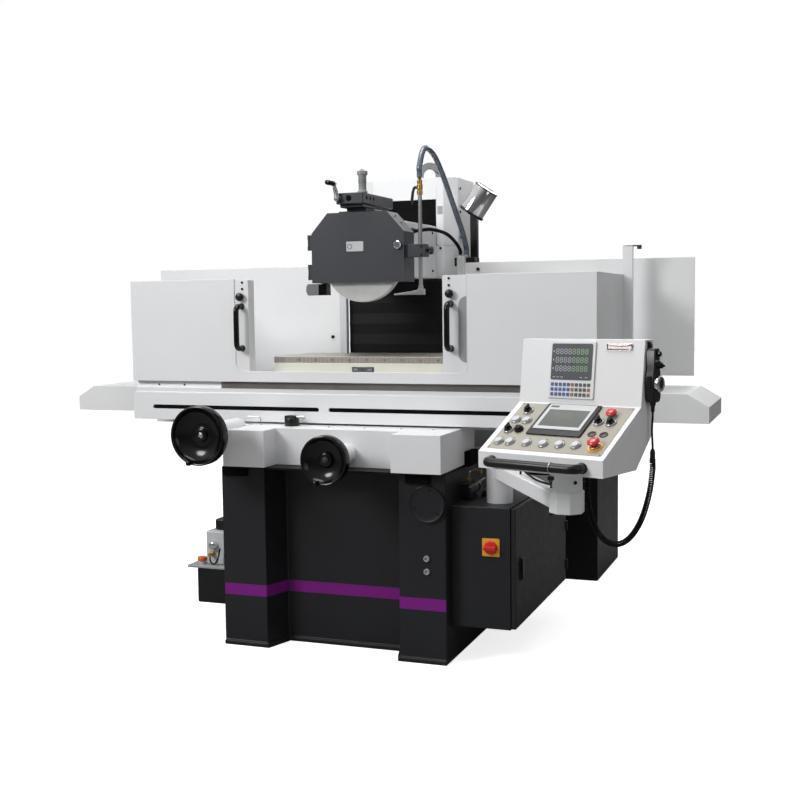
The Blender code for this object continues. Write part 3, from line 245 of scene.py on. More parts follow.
# =================================================================== shapes
def spin(profile, centre, axis, sides=48):
    """Turn (radius, distance along the axis) points into a solid.

    A profile that doesn't return to its first point gets flat ends on the axis.
    """
    if profile[0] != profile[-1]:
        ends = [[(0, end[1])] if end[0] else [] for end in (profile[0], profile[-1])]
        profile = [*ends[0], *profile, *ends[1]]
    bm = bmesh.new()
    turn = Vector(UP).rotation_difference(Vector(axis)).to_matrix().to_4x4()
    rings = []
    for radius, along in profile:
        if radius == 0:
            rings.append([bm.verts.new((0, 0, along))])
        else:
            angles = [2 * pi * i / sides for i in range(sides)]
            rings.append([bm.verts.new((radius * cos(a), radius * sin(a), along)) for a in angles])
    for one, two in zip(rings, rings[1:]):
        for i in range(sides):
            j = (i + 1) % sides
            corners = [one[i % len(one)], one[j % len(one)], two[j % len(two)], two[i % len(two)]]
            corners = list(dict.fromkeys(corners))
            if len(corners) > 2:
                bm.faces.new(corners)
    bmesh.ops.transform(bm, verts=bm.verts, matrix=Matrix.Translation(centre) @ turn)
    return bm


def push(outline, axis, low, high):
    """Push a flat outline along an axis: (y, z), (x, z) or (x, y) points."""
    bm = bmesh.new()
    lift = {"X": lambda a, b, d: (d, a, b), "Y": lambda a, b, d: (a, d, b), "Z": lambda a, b,
        d: (a, b, d)}[axis]
    bottom = [bm.verts.new(lift(a, b, low)) for a, b in outline]
    top = [bm.verts.new(lift(a, b, high)) for a, b in outline]
    bm.faces.new(bottom)
    bm.faces.new(top)
    for i in range(len(outline)):
        j = (i + 1) % len(outline)
        bm.faces.new([bottom[i], bottom[j], top[j], top[i]])
    return bm


def slab(x, y, z):
    """A box between two places on each axis."""
    return push([(x[0], y[0]), (x[1], y[0]), (x[1], y[1]), (x[0], y[1])], "Z", *z)


def rounded(x, y, radius, steps=5):
    """The outline of a rectangle with round corners."""
    centres = [(x[1] - radius, y[1] - radius, 0), (x[0] + radius, y[1] - radius, 90),
        (x[0] + radius, y[0] + radius, 180), (x[1] - radius, y[0] + radius, 270)]
    out = []
    for cx, cy, start in centres:
        for i in range(steps + 1):
            a = radians(start + 90 * i / steps)
            out.append((cx + radius * cos(a), cy + radius * sin(a)))
    return out


def arc(centre, radius, start, end, steps):
    """Points on part of a circle, from one angle to another in degrees."""
    out = []
    for i in range(steps + 1):
        a = radians(start + (end - start) * i / steps)
        out.append((centre[0] + radius * cos(a), centre[1] + radius * sin(a)))
    return out


def smooth_path(route, steps=3):
    """Points on a smooth curve (Catmull-Rom) through a route's own points."""
    route = [Vector(p) for p in route]
    route = [2 * route[0] - route[1], *route, 2 * route[-1] - route[-2]]
    out = []
    for a, b, c, d in zip(route, route[1:], route[2:], route[3:]):
        for i in range(steps):
            t = i / steps
            out.append(0.5 * (2 * b + (c - a) * t + (2 * a - 5 * b + 4 * c - d) * t ** 2
                + (3 * b - a - 3 * c + d) * t ** 3))
    return [*out, route[-2]]


def along(points):
    """A point, a tangent and two side directions at each point of a path."""
    points = [Vector(p) for p in points]
    out = []
    side = None
    for i, point in enumerate(points):
        before, after = points[max(i - 1, 0)], points[min(i + 1, len(points) - 1)]
        tangent = (after - before).normalized()
        if side is None:
            side = tangent.orthogonal().normalized()
        side = (side - tangent * side.dot(tangent)).normalized()
        out.append((point, tangent, side, tangent.cross(side)))
    return out


def tube(points, radius, sides=16):
    """A round bar along points; radius is a number or one number a point."""
    bm = bmesh.new()
    rings = []
    frames = along(points)
    for i, (point, _, one, two) in enumerate(frames):
        r = radius[i] if isinstance(radius, (list, tuple)) else radius
        rings.append([bm.verts.new(point + r * (cos(2 * pi * k / sides) * one + sin(2 * pi * k / sides)
            * two)) for k in range(sides)])
    for one, two in zip(rings, rings[1:]):
        for k in range(sides):
            bm.faces.new([one[k], one[(k + 1) % sides], two[(k + 1) % sides], two[k]])
    bm.faces.new(rings[0])
    bm.faces.new(rings[-1])
    return bm


def joined(*shapes):
    """Several solids as one mesh."""
    whole = bmesh.new()
    for shape in shapes:
        scratch = bpy.data.meshes.new("scratch")
        bmesh.ops.recalc_face_normals(shape, faces=shape.faces)
        shape.to_mesh(scratch)
        shape.free()
        whole.from_mesh(scratch)
        bpy.data.meshes.remove(scratch)
    return whole


def in_scene(bm, name, material):
    """Turn a bmesh into an object with one material."""
    bmesh.ops.recalc_face_normals(bm, faces=bm.faces)
    mesh = bpy.data.meshes.new(name)
    bm.to_mesh(mesh)
    bm.free()
    mesh.materials.append(material)
    thing = bpy.data.objects.new(name, mesh)
    bpy.context.scene.collection.objects.link(thing)
    return thing


def piece(shape, name, paint, body="root", bevel=0.0, segments=3, stands_for=None):
    """Turn a shape, or a list of them, into a piece that rides on a body."""
    if isinstance(shape, list):
        shape = joined(*shape)
    thing = in_scene(shape, name, paints[paint])
    thing.data.shade_smooth()
    if bevel:
        soften(thing, bevel, segments)
    else:
        thing.data.set_sharp_from_angle(angle=radians(35))
    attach(thing, body)
    if stands_for:
        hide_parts(stands_for)
    return thing


def soften(thing, width, segments=3):
    """Round a piece's sharp edges and keep its flat faces flat."""
    modifier = thing.modifiers.new("rounding", "BEVEL")
    modifier.width = width
    modifier.segments = segments
    modifier.limit_method = "ANGLE"
    modifier.angle_limit = radians(32)
    modifier.harden_normals = True
    modifier.use_clamp_overlap = True


def dress(name, paint, bevel=0.0, segments=3):
    """Give a CAD node its finish and soft edges."""
    thing = nodes[name]
    thing.data.materials.clear()
    thing.data.materials.append(paints[paint])
    if bevel:
        weld = thing.modifiers.new("weld", "WELD")
        weld.merge_threshold = 0.00002
        soften(thing, bevel, segments)


def cap_screw(at, axis, radius):
    """A socket-head screw: a drum with a round recess."""
    r = radius
    return spin([(r, 0), (r, 0.55 * r), (0.9 * r, 0.7 * r), (0.55 * r, 0.7 * r), (0.5 * r, 0.25 * r)], at,
        axis, 18)


def screws(places, axis, radius):
    """The same screw at several places."""
    return [cap_screw(at, axis, radius) for at in places]


def radial_bars(centre, inner, outer, half_width, count, low, high):
    """Upright bars that stand around a drum."""
    bars = []
    for i in range(count):
        a = 2 * pi * i / count
        out, side = Vector((cos(a), sin(a), 0)), Vector((-sin(a), cos(a), 0)) * half_width
        near, far = Vector(centre) + out * inner, Vector(centre) + out * outer
        corners = [near - side, far - side, far + side, near + side]
        bars.append(push([(p.x, p.y) for p in corners], "Z", low, high))
    return bars


# ==================================================================== cords
SWIVEL = joint_at("console_swivel")
YAW = radians(-18)            # the console's turn on its hub
SHIFT = 0.014                 # the console's middle, to the right of the hub
SIDE = 0.2303                 # the console's right face, from its middle
UNDERSIDE = SWIVEL.z - GAP


def on_console(u, v, z):
    """A place u right of the console's middle and v behind the hub's axis."""
    c, s = cos(YAW), sin(YAW)
    u += SHIFT
    return Vector((SWIVEL.x + c * u - s * v, SWIVEL.y + s * u + c * v, z))


def to_console(bm):
    """Turn a shape drawn round the hub's axis to where the console stands."""
    turn = Matrix.Rotation(YAW, 4, "Z") @ Matrix.Translation((SHIFT, 0, 0))
    bmesh.ops.transform(bm, verts=bm.verts, matrix=Matrix.Translation((SWIVEL.x, SWIVEL.y, 0)) @ turn)
    return bm


PENDANT_U, PENDANT_V = SIDE + 0.017, 0.097
PENDANT_LOW = 1.1
COIL_TOP = PENDANT_LOW - 0.17


def make_pendant_cord():
    """The lead under the pendant, then a curly cord up into the console."""
    u, w, low = PENDANT_U, PENDANT_V, PENDANT_LOW
    far_u, far_w = u - 0.238, w - 0.002
    lead = [(u, w, low - GAP), (u, w, low - 0.02), (u, w, low - 0.04), (u - 0.002, w - 0.001, 1.01),
        (u, w, COIL_TOP + 0.03), (u, w, COIL_TOP + 0.015), (u, w, COIL_TOP)]
    path = [on_console(*p) for p in smooth_path(lead, 6)]
    thin = piece(tube(path, 0.0035, 12), "pendant_straight_lead", "rubber", "console",
        stands_for="pendant_lead")
    route = [(u, w, COIL_TOP - GAP), (u, w, COIL_TOP - 0.025), (u, w, COIL_TOP - 0.05), (u - 0.012, w, 0.8),
        (u - 0.04, w, 0.712), (u - 0.082, w, 0.648), (u - 0.13, w, 0.622), (u - 0.18, w, 0.636),
        (u - 0.218, w, 0.69), (u - 0.236, w - 0.002, 0.76), (far_u, far_w, 0.82), (far_u, far_w, 0.85),
        (far_u, far_w, UNDERSIDE)]
    core = [on_console(*p) for p in smooth_path(route, 40)]
    wire, outside, pitch, per_turn = 0.0026, 0.0105, 0.0062, 14
    mid = outside - wire      # radius of the helix
    travelled = [0.0]
    for one, two in zip(core, core[1:]):
        travelled.append(travelled[-1] + (two - one).length)
    total = travelled[-1]
    plain = 0.012             # straight ends that run into the sleeves
    frames = along(core)
    turns = round((total - 2 * plain) / pitch)
    line = []
    at = 0
    count = turns * per_turn
    for k in range(count + 1):
        want = plain + (total - 2 * plain) * k / count
        while travelled[at + 1] < want and at < len(travelled) - 2:
            at += 1
        t = (want - travelled[at]) / (travelled[at + 1] - travelled[at])
        point = core[at].lerp(core[at + 1], t)
        _, _, one, two = frames[at]
        a = 2 * pi * k / per_turn
        line.append(point + mid * (cos(a) * one + sin(a) * two))
    line = [core[0], core[0].lerp(line[0], 0.5), *line, core[-1].lerp(line[-1], 0.5), core[-1]]
    curly = piece(tube(line, wire, 8), "pendant_curly_cord", "rubber", "console", stands_for="pendant_coil")
    down = Vector((0, 0, -1))
    piece([spin(mm((6.2, -14), (8.5, -4), (8.5, 20), (9.8, 26)), on_console(u, w, COIL_TOP + 0.004), down,
        20), spin(mm((9.8, 0), (9.8, 6), (7, 12), (6, 30)), on_console(u, w, low - GAP), down, 20),
        spin(mm((13.5, 0), (13.5, 10), (11, 12), (11, 24)), on_console(far_u, far_w, UNDERSIDE), down, 20)],
        "pendant_cord_sleeves", "black", "console")


HOSE_FOOT_Z = 1.6403          # top of the bracket at the lamp post's foot
HOSE_FOOT_Y = 0.482
HOSE_FOOT_X, CABLE_FOOT_X = 0.287, 0.258
PIPE_X, PIPE_Y = 0.262, -0.088
PIPE_TOP = 1.957


def make_head_lines():
    """The coolant hose and the head's cable, bent from the head down to the bracket."""
    x, y = PIPE_X, PIPE_Y
    route = [(x, y, PIPE_TOP + GAP), (x, y, 1.98), (x, y, 2.005), (0.266, -0.04, 2.08), (0.274, 0.06, 2.068),
        (0.283, 0.18, 1.972), (0.289, 0.3, 1.855), (0.291, 0.41, 1.755), (HOSE_FOOT_X, HOSE_FOOT_Y, 1.685),
        (HOSE_FOOT_X, HOSE_FOOT_Y, 1.662), (HOSE_FOOT_X, HOSE_FOOT_Y, HOSE_FOOT_Z)]
    flow(route, 0.0125, "hose", "coolant_hose_clear", "coolant_hose")
    out = joints["spindle_turn"]["pos_m"][0] + 0.1403
    route = [(out, 0.14, 1.75), (0.155, 0.14, 1.75), (0.172, 0.14, 1.75), (0.214, 0.2, 1.757),
        (0.245, 0.32, 1.742), (0.258, 0.42, 1.704), (CABLE_FOOT_X, HOSE_FOOT_Y, 1.672),
        (CABLE_FOOT_X, HOSE_FOOT_Y, 1.656), (CABLE_FOOT_X, HOSE_FOOT_Y, HOSE_FOOT_Z)]
    flow(route, 0.008, "rubber", "head_cable_black", "head_cable")


def flow(route, radius, paint, name, node):
    """A hose from the head to the bracket, bent between the two."""
    thing = in_scene(tube(smooth_path(route, 10), radius, 20), name, paints[paint])
    thing.data.shade_smooth()
    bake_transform(thing)
    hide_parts(node)


# ===================================================================== base
def make_base():
    """Base: stripe, plugs, the round cover's rim, near-black blocks and a black sheet of painted shade under
    the saddle, and the oil sight.
    """
    low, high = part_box("base_frame")
    dress("base_frame", "charcoal", 0.006)
    front = low.y + 0.012
    edge, inner, recess = high.x - 0.004, 0.296, 0.258
    deep = front + 0.128
    outer = [(-edge, front), (-inner, front), (-recess, deep), (recess, deep), (inner, front), (edge, front)]
    band = [(x, y - SKIN) for x, y in outer] + [(x, y + 0.002) for x, y in reversed(outer)]
    piece(push(band, "Z", 0.216, 0.264), "front_stripe", "purple")
    piece(screws([(0.413, front, z) for z in (0.424, 0.372)], TO_FRONT, 0.0125), "pedestal_plugs",
        "light_grey")
    cap = Vector((0.42, front - 0.0125, 0.643))
    piece([spin(mm((50, 0), (68, 0), (70, 1), (71.5, 2.5), (71.5, -10), (50, -10), (50, 0)), cap, TO_FRONT,
        64), *[cap_screw(cap + Vector((0.056 * cos(a), 0, 0.056 * sin(a))), TO_FRONT, 0.004)
        for a in (radians(80), radians(200), radians(320))]], "pedestal_cap_rim", "charcoal")
    # Painted shade: near-black blocks on the base's front face under the saddle's ends, where its shade
    # falls.
    piece([slab((a, b), (front - 0.016, front + 0.01), (0.722, 0.7595))
        for a, b in ((-0.482, -0.372), (0.33, 0.43))], "way_wiper_blocks", "shade_and_ink", "root", 0.004)
    # Painted shade: a black sheet filling the gap between the base's top and the saddle.
    piece(slab((-0.49, 0.49), (front + 0.01, front + 0.18), (0.7605, 0.7672)), "way_cover_lip", "black",
        "root", 0.001)
    piece([spin(mm((16, 0), (18, 6), (18, 16), (10, 22)), (low.x + 0.012, front + 0.06, 0.683), TO_LEFT, 24),
        spin(mm((12, 0), (12, 10), (0, 12)), (low.x + 0.012, front + 0.06, 0.64), TO_LEFT, 20)],
        "oil_sight_plug", "black")


def make_oil_fittings():
    """A near-black block of painted shade and the oil valve, between the base and the console post."""
    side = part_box("base_frame")[1].x
    # Painted shade: a near-black block on the base's side under the saddle, where the base lies in shadow.
    piece(slab((side - 0.03, side + 0.022), (-0.235, -0.12), (0.7605, 0.822)), "drain_block", "shade_and_ink", "root",
        0.004)
    piece([slab((side + GAP, side + 0.045), (-0.3, -0.215), (0.64, 0.7)),
        spin(mm((16, 0), (16, 60), (20, 62), (20, 85)), (side + 0.024, -0.215, 0.668), TO_BACK, 24)],
        "oil_valve", "black", "root", 0.002)
    piece([spin(mm((10, 0), (10, 14), (7, 16), (7, 30)), (side + 0.024, -0.255, 0.7), UP, 6),
        spin(mm((11, 0), (11, 16)), (side + 0.04, -0.18, 0.735), TO_RIGHT, 6)], "oil_unions", "brass")
    piece([tube([(side + 0.052, -0.335, 0.692), (side + 0.058, -0.26, 0.699), (side + 0.06, -0.15, 0.704)],
        0.0045, 12), tube(smooth_path([(side + 0.024, -0.255, 0.728), (side + 0.03, -0.25, 0.745),
        (side + 0.04, -0.215, 0.748), (side + 0.046, -0.182, 0.74)], 6), 0.0035, 10)], "oil_valve_lever",
        "steel")


def make_lubrication_unit():
    """Oil tank with its pump, filler, gauge and line, on the base's side."""
    low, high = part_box("lubrication_unit")
    x = (low.x + 0.012, high.x)
    y = (low.y + 0.01, high.y - 0.01)
    rim = low.z + 0.171 - 0.016
    piece(slab((x[0] + 0.03, x[1]), y, (low.z, rim)), "oil_tank", "tank", "root", 0.008,
        stands_for="lubrication_unit")
    piece(slab((low.x, x[1] - 0.001), (low.y, high.y), (rim + GAP, rim + 0.012)), "oil_tank_flange",
        "light_grey", "root", 0.003)
    motor_x, motor_y = (x[0] + 0.062, x[1]), (y[0] + 0.03, y[1] - 0.03)
    split = high.z - 0.05
    piece(slab(motor_x, motor_y, (rim + 0.0123, split)), "pump_body", "bezel", "root", 0.006)
    piece(slab((motor_x[0] + 0.03, x[1]), (motor_y[0] + 0.03, motor_y[1]), (split + GAP, high.z)),
        "pump_cap", "black", "root", 0.008)
    centre = Vector((x[0] + 0.042, y[0] + 0.028, rim + 0.0123))
    piece(spin(mm((17, 0), (17, 14)), centre, UP, 32), "filler_neck", "bezel")
    piece(spin(mm((20, 14.5), (21, 17), (21, 29), (19, 32)), centre, UP, 32), "filler_cap", "orange")
    fitting = Vector((motor_x[0] + 0.034, motor_y[0] + GAP, rim + 0.06))
    piece(spin(mm((12, 0), (12, 12), (8, 13), (8, 34)), fitting, TO_FRONT, 6), "oil_fitting", "brass")
    piece(spin(mm((20, 0), (20, 3), (18, 20), (12, 24)), fitting + Vector((0.006, 0, 0.038)), TO_FRONT, 36),
        "oil_gauge", "chrome")
    piece(tube(smooth_path([fitting + Vector((0, -0.026, -0.004)), fitting + Vector((0.002, -0.03, -0.026)),
        fitting + Vector((0.018, -0.03, -0.04)), fitting + Vector((0.036, -0.026, -0.02)),
        fitting + Vector((0.046, -0.02, 0.03))], 8), 0.0035, 12), "oil_line", "rubber")


# =================================================================== column
def make_column():
    """Column and hood: lift slot, seams, screws and what hangs on them."""
    dress("column", "white", 0.005)
    dress("column_hood", "white", 0.006)
    dress("rear_guard", "white_two", 0.0015, 2)
    low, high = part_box("column_hood")
    front = low.y
    slot_x, slot_top = (-0.16, 0.139), 1.917
    # Painted shade: a near-black strip for the dark inside of the lift slot.
    piece(slab((slot_x[0] + SKIN, slot_x[1] - SKIN), (front + 0.0012, front + 0.0019),
        (low.z + 0.004, slot_top - SKIN)), "lift_slot_blind", "shade_and_ink")
    piece([slab((x, x + 0.0015), (front - SKIN, front + 0.001), (low.z, high.z - 0.04))
        for x in (0.141, -0.164)], "hood_seams", "post_grey")
    half = 0.236              # half the hood's width
    piece(slab((-half, half), (front + 0.041, high.y + SKIN), (low.z - 0.0016, low.z + 0.0012)),
        "hood_joint", "post_grey")
    heads = [cap_screw((way * half, y, z), (way, 0, 0), 0.006)
        for z in (low.z + 0.04, (low.z + high.z) / 2, high.z - 0.05) for y in (low.y + 0.07, high.y - 0.03)
        for way in (1, -1)]
    heads.append(cap_screw((0.16, front, 1.688), TO_FRONT, 0.006))
    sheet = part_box("rear_guard")[0].y + 0.012
    heads += screws([(x, sheet, z) for x in (-0.377, 0.358) for z in (1.176, 1.274, 1.584)], TO_FRONT, 0.008)
    piece(heads, "hood_screws", "black")
    piece([*[slab((a, b), (sheet - 0.0135, sheet - 0.0122), (1.102, c))
        for a, b, c in ((-0.334, -0.301, 1.55), (0.261, 0.294, 1.643))],
        slab((-0.3002, -0.2992), (sheet - 0.0135, sheet + 0.016), (1.141, 1.55))], "post_faces", "post_grey")
    piece(push(rounded((0.146, 0.172), (1.846, 1.884), 0.003), "Y", front - SKIN, front), "slot_side_plate",
        "light_grey")
    make_bellows()
    make_hose_arch(front)
    make_rear_panels(high)


def make_hose_arch(front):
    """The grey plate on the hood's top that the hose lies against."""
    middle, foot, shoulder = (0.098, 2.03), 2.0185, 2.032
    outline = [(0.036, foot), (0.068, foot), *arc(middle, 0.03, 180, 0, 10), (0.128, foot), (0.16, foot),
        (0.16, shoulder), *arc(middle, 0.062, 0, 180, 18)]
    piece(push(outline, "Y", front + 0.03, front + 0.034), "hose_arch", "stub_grey", "root", 0.001, 2)
    piece(slab((0.036, 0.16), (front + 0.03, front + 0.06), (2.0184, 2.0214)), "hose_arch_foot",
        "light_grey", "root", 0.001)


def make_bellows():
    """Folded rubber apron below the head, held by a bar at its top."""
    low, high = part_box("lower_bellows")
    folds, depth, thick = 4, 0.0045, 0.003
    front = low.y + 0.001
    step = (high.z - 0.012 - low.z) / (2 * folds)
    outline = [(front + depth * (i % 2), low.z + i * step) for i in range(2 * folds + 1)]
    back = [(y + thick, z) for y, z in reversed(outline)]
    folded = push([*outline, *back], "X", low.x + 0.002, high.x - 0.002)
    thing = in_scene(folded, "bellows_folds", paints["rubber"])
    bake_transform(thing)
    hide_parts("lower_bellows")
    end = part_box("lamp_post")[0].x - 0.004  # stays clear of the post as the head lifts
    piece(slab((low.x, end), (front, low.y + 0.014), (high.z - 0.012, high.z)), "bellows_bar", "black",
        "wheel_head", 0.001)
    piece(slab((low.x, high.x), (front - 0.001, low.y + 0.016), (low.z, low.z + 0.008)), "bellows_foot",
        "black", "root", 0.001)
    piece(slab((low.x - 0.0018, low.x + 0.006), (low.y + 0.012, low.y + 0.018), (low.z, low.z + 0.395)),
        "bellows_edge", "black")


def make_rear_panels(high):
    """Access cover and cooling grille on the column's back."""
    back = top_corner("column").y
    piece(push(rounded((-0.15, 0.15), (0.95, 1.55), 0.012), "Y", back + GAP, back + 0.004),
        "column_back_cover", "white_two", "root", 0.0012, 2)
    spots = [(x, back + 0.004, z) for x in (-0.132, 0.132) for z in (0.97, 1.25, 1.53)]
    piece(screws(spots, TO_BACK, 0.007), "column_back_screws", "black")
    # Painted shade: near-black patches for the dark inside the vent slots.
    piece([push(rounded((-0.07, 0.07), (z, z + 0.008), 0.0035), "Y", high.y - 0.001, high.y + SKIN)
        for z in [1.78 + 0.018 * i for i in range(8)]], "hood_vent_slots", "shade_and_ink")


def make_lamp():
    """The machine lamp, and the ferrules on the bracket at its post."""
    dress("lamp_post", "black", 0.002, 2)
    pivot = joint_at("lamp_tilt")
    aim = Vector((-0.572, 0, -0.82)).normalized()
    mouth = pivot + Vector((0.004, -0.066, -0.01))
    piece(spin(mm((46, -134), (54, -132), (57.5, -126), (57.5, -8)), mouth, aim, 64), "lamp_shell", "chrome",
        "lamp", stands_for="lamp_head")
    piece([spin(mm((56, -7.8), (61.5, -7.8), (62, -6), (62, 3), (60, 4), (56, 1), (56, -7.8)), mouth, aim,
        64), spin(mm((56.2, -131.5), (58, -131.5), (58, -126.5), (57.4, -126), (56.2, -131.5)), mouth, aim,
        64)], "lamp_rim", "black", "lamp")
    piece(spin(mm((0, 0), (30, 0.4), (55.8, -1), (55.8, -4)), mouth, aim, 48), "lamp_lens", "lens", "lamp")
    piece([spin(mm((8, 0), (8, 30)), pivot, TO_FRONT, 24), spin(mm((14, 0), (14, 6), (10, 8)),
        (pivot.x, pivot.y - 0.001, pivot.z), TO_FRONT, 24)], "lamp_pivot", "black", "lamp")
    side = Vector(TO_BACK)
    up = aim.cross(side)
    piece([cap_screw(mouth - aim * 0.134 + (cos(a) * side + sin(a) * up) * 0.04, -aim, 0.003)
        for a in map(radians, (20, 140, 260))], "lamp_screws", "black", "lamp")
    foot_low, foot_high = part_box("lamp_post")
    piece([spin([(r, 0), (r, 0.01), (0.8 * r, 0.013)], (x, HOSE_FOOT_Y, HOSE_FOOT_Z), UP, 24)
        for x, r in ((HOSE_FOOT_X, 0.015), (CABLE_FOOT_X, 0.0105))], "hose_ferrules", "steel")
    spots = [(foot_high.x, foot_low.y + 0.03, z) for z in (1.61, 1.628)]
    piece(screws(spots, TO_RIGHT, 0.005), "lamp_post_screws", "steel")


# ================================================================== cabinet
def make_cabinet():
    """Electrical cabinet: main switch, door latch, hinges, vents, cable glands."""
    dress("cabinet_shell", "charcoal", 0.003, 2)
    dress("cabinet_door", "charcoal", 0.003, 2)
    low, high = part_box("cabinet_shell")
    at = joint_at("main_switch_turn")
    half = 0.0355
    plate = rounded((at.x - half, at.x + half), (at.z - half, at.z + half), 0.004)
    piece(push(plate, "Y", low.y - 0.004, low.y - 0.0001), "main_switch_plate", "yellow", "root", 0.0012, 2)
    seat = low.y - 0.0042
    knob = joined(spin(mm((26.5, 0), (27.5, 3), (25.5, 11), (15, 12.5)), (at.x, seat, at.z), TO_FRONT, 48),
        push(rounded((at.x - 0.026, at.x + 0.0245), (at.z - 0.008, at.z + 0.008), 0.006), "Y", seat - 0.026,
        seat - 0.01))
    piece(knob, "main_switch_grip", "red", "main_switch", 0.0016, stands_for="main_switch_knob")
    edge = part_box("cabinet_door")[0].y
    face, hinge_y, _ = joints["cabinet_door_swing"]["pos_m"]
    piece([push(rounded((edge + 0.062, edge + 0.092), (0.33, 0.425), 0.01), "X", face, face + 0.004),
        push(rounded((edge + 0.066, edge + 0.088), (0.34, 0.415), 0.008), "X", face + 0.004, face + 0.012)],
        "door_latch", "black", "cabinet_door", 0.001, 2)
    piece([spin(mm((7, 0), (7, 45)), (face + 0.002, hinge_y, z), UP, 20) for z in (0.2, 0.38, 0.56)],
        "door_hinges", "black", "cabinet_door")
    # Painted shade: near-black patches for the dark inside the door's vent slots.
    vents = [push(rounded((hinge_y - 0.32, hinge_y - 0.14), (z, z + 0.006), 0.0028), "X", face - 0.0004,
        face + SKIN) for z in [0.5 + 0.014 * i for i in range(6)]]
    piece(vents, "door_vent_slots", "shade_and_ink", "cabinet_door")
    piece([spin(mm((15, 0), (15, 10), (12, 11), (10, 22)), (x, low.y + 0.26, high.z), UP, 6)
        for x in (0.56, 0.6)], "cabinet_glands", "black", "root", 0.0006, 2)


def make_tank():
    """Coolant tank: the pump's rings and fins, and a lid over the hatch."""
    low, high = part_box("coolant_tank")
    dress("coolant_tank", "tank", 0.003, 2)
    top = high.z - 0.22
    x = low.x + 0.18
    y = low.y + 0.2
    piece([spin(mm((61, 10), (72, 10), (72, 22), (61, 22), (61, 10)), (x, y, top - 0.01), UP, 48),
        spin(mm((50, 0), (62, 0), (64, 4), (64, 40), (56, 52), (0, 54), (0, 10), (50, 0)),
        (x, y, high.z - 0.03), UP, 48)], "pump_rings", "tank")
    piece(radial_bars((x, y, 0), 0.0595, 0.067, 0.0016, 18, top + 0.04, high.z - 0.036), "pump_fins", "tank")
    rim = 0.014
    piece(slab((low.x + 0.3 - rim, low.x + 0.525 + rim), (low.y + 0.08 - rim, high.y - 0.08 + rim),
        (top + GAP, top + 0.0033)), "tank_hatch_lid", "charcoal", "root", 0.001)


# =================================================================== saddle
def make_saddle():
    """Saddle: the stop switch, a hex key in its hole, the deck's seam, a wiper."""
    dress("saddle", "white", 0.004)
    dress("way_cover_left", "white_two", 0.0015, 2)
    dress("way_cover_right", "white_two", 0.0015, 2)
    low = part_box("saddle")[0]
    left = -0.454
    deck = 0.92
    front = -0.59 + 0.051
    stand = Vector((-0.237, -0.33, deck + GAP))
    piece([spin(mm((29, 0), (31, 6), (31, 30), (28, 36)), stand, UP, 32),
        slab((stand.x - 0.026, stand.x + 0.026), (stand.y - 0.018, stand.y + 0.018),
        (deck + 0.03, deck + 0.044))], "stop_switch", "black", "saddle", 0.002)
    piece(tube([stand + Vector((0.02, -0.006, 0.038)), stand + Vector((0.05, -0.006, 0.04)),
        stand + Vector((0.062, -0.006, 0.034))], 0.0065, 16), "stop_switch_lever", "silver", "saddle", 0.001)
    line = [(-0.445, -0.33, deck + 0.035), (-0.395, -0.33, deck + 0.035), (-0.388, -0.33, deck + 0.033),
        (-0.384, -0.33, deck + 0.026), (-0.384, -0.33, deck + 0.0005)]
    piece(tube(line, 0.0022, 8), "hex_key", "steel", "saddle")
    piece(slab((left + 0.01, 0.485), (-0.322, -0.32), (deck + 0.0002, deck + 0.0012)), "deck_seam",
        "post_grey", "saddle")
    spots = [(x, -0.345, deck) for x in (-0.06, 0.1, 0.26, 0.4)]
    piece(screws(spots, UP, 0.0045), "deck_screws", "steel", "saddle")
    wiper_low = low.z - 0.02
    piece(slab((left + 0.006, 0.488), (front + 0.014, front + 0.1), (wiper_low + 0.0135, low.z + 0.0002)),
        "saddle_wiper", "rubber", "saddle", 0.001)


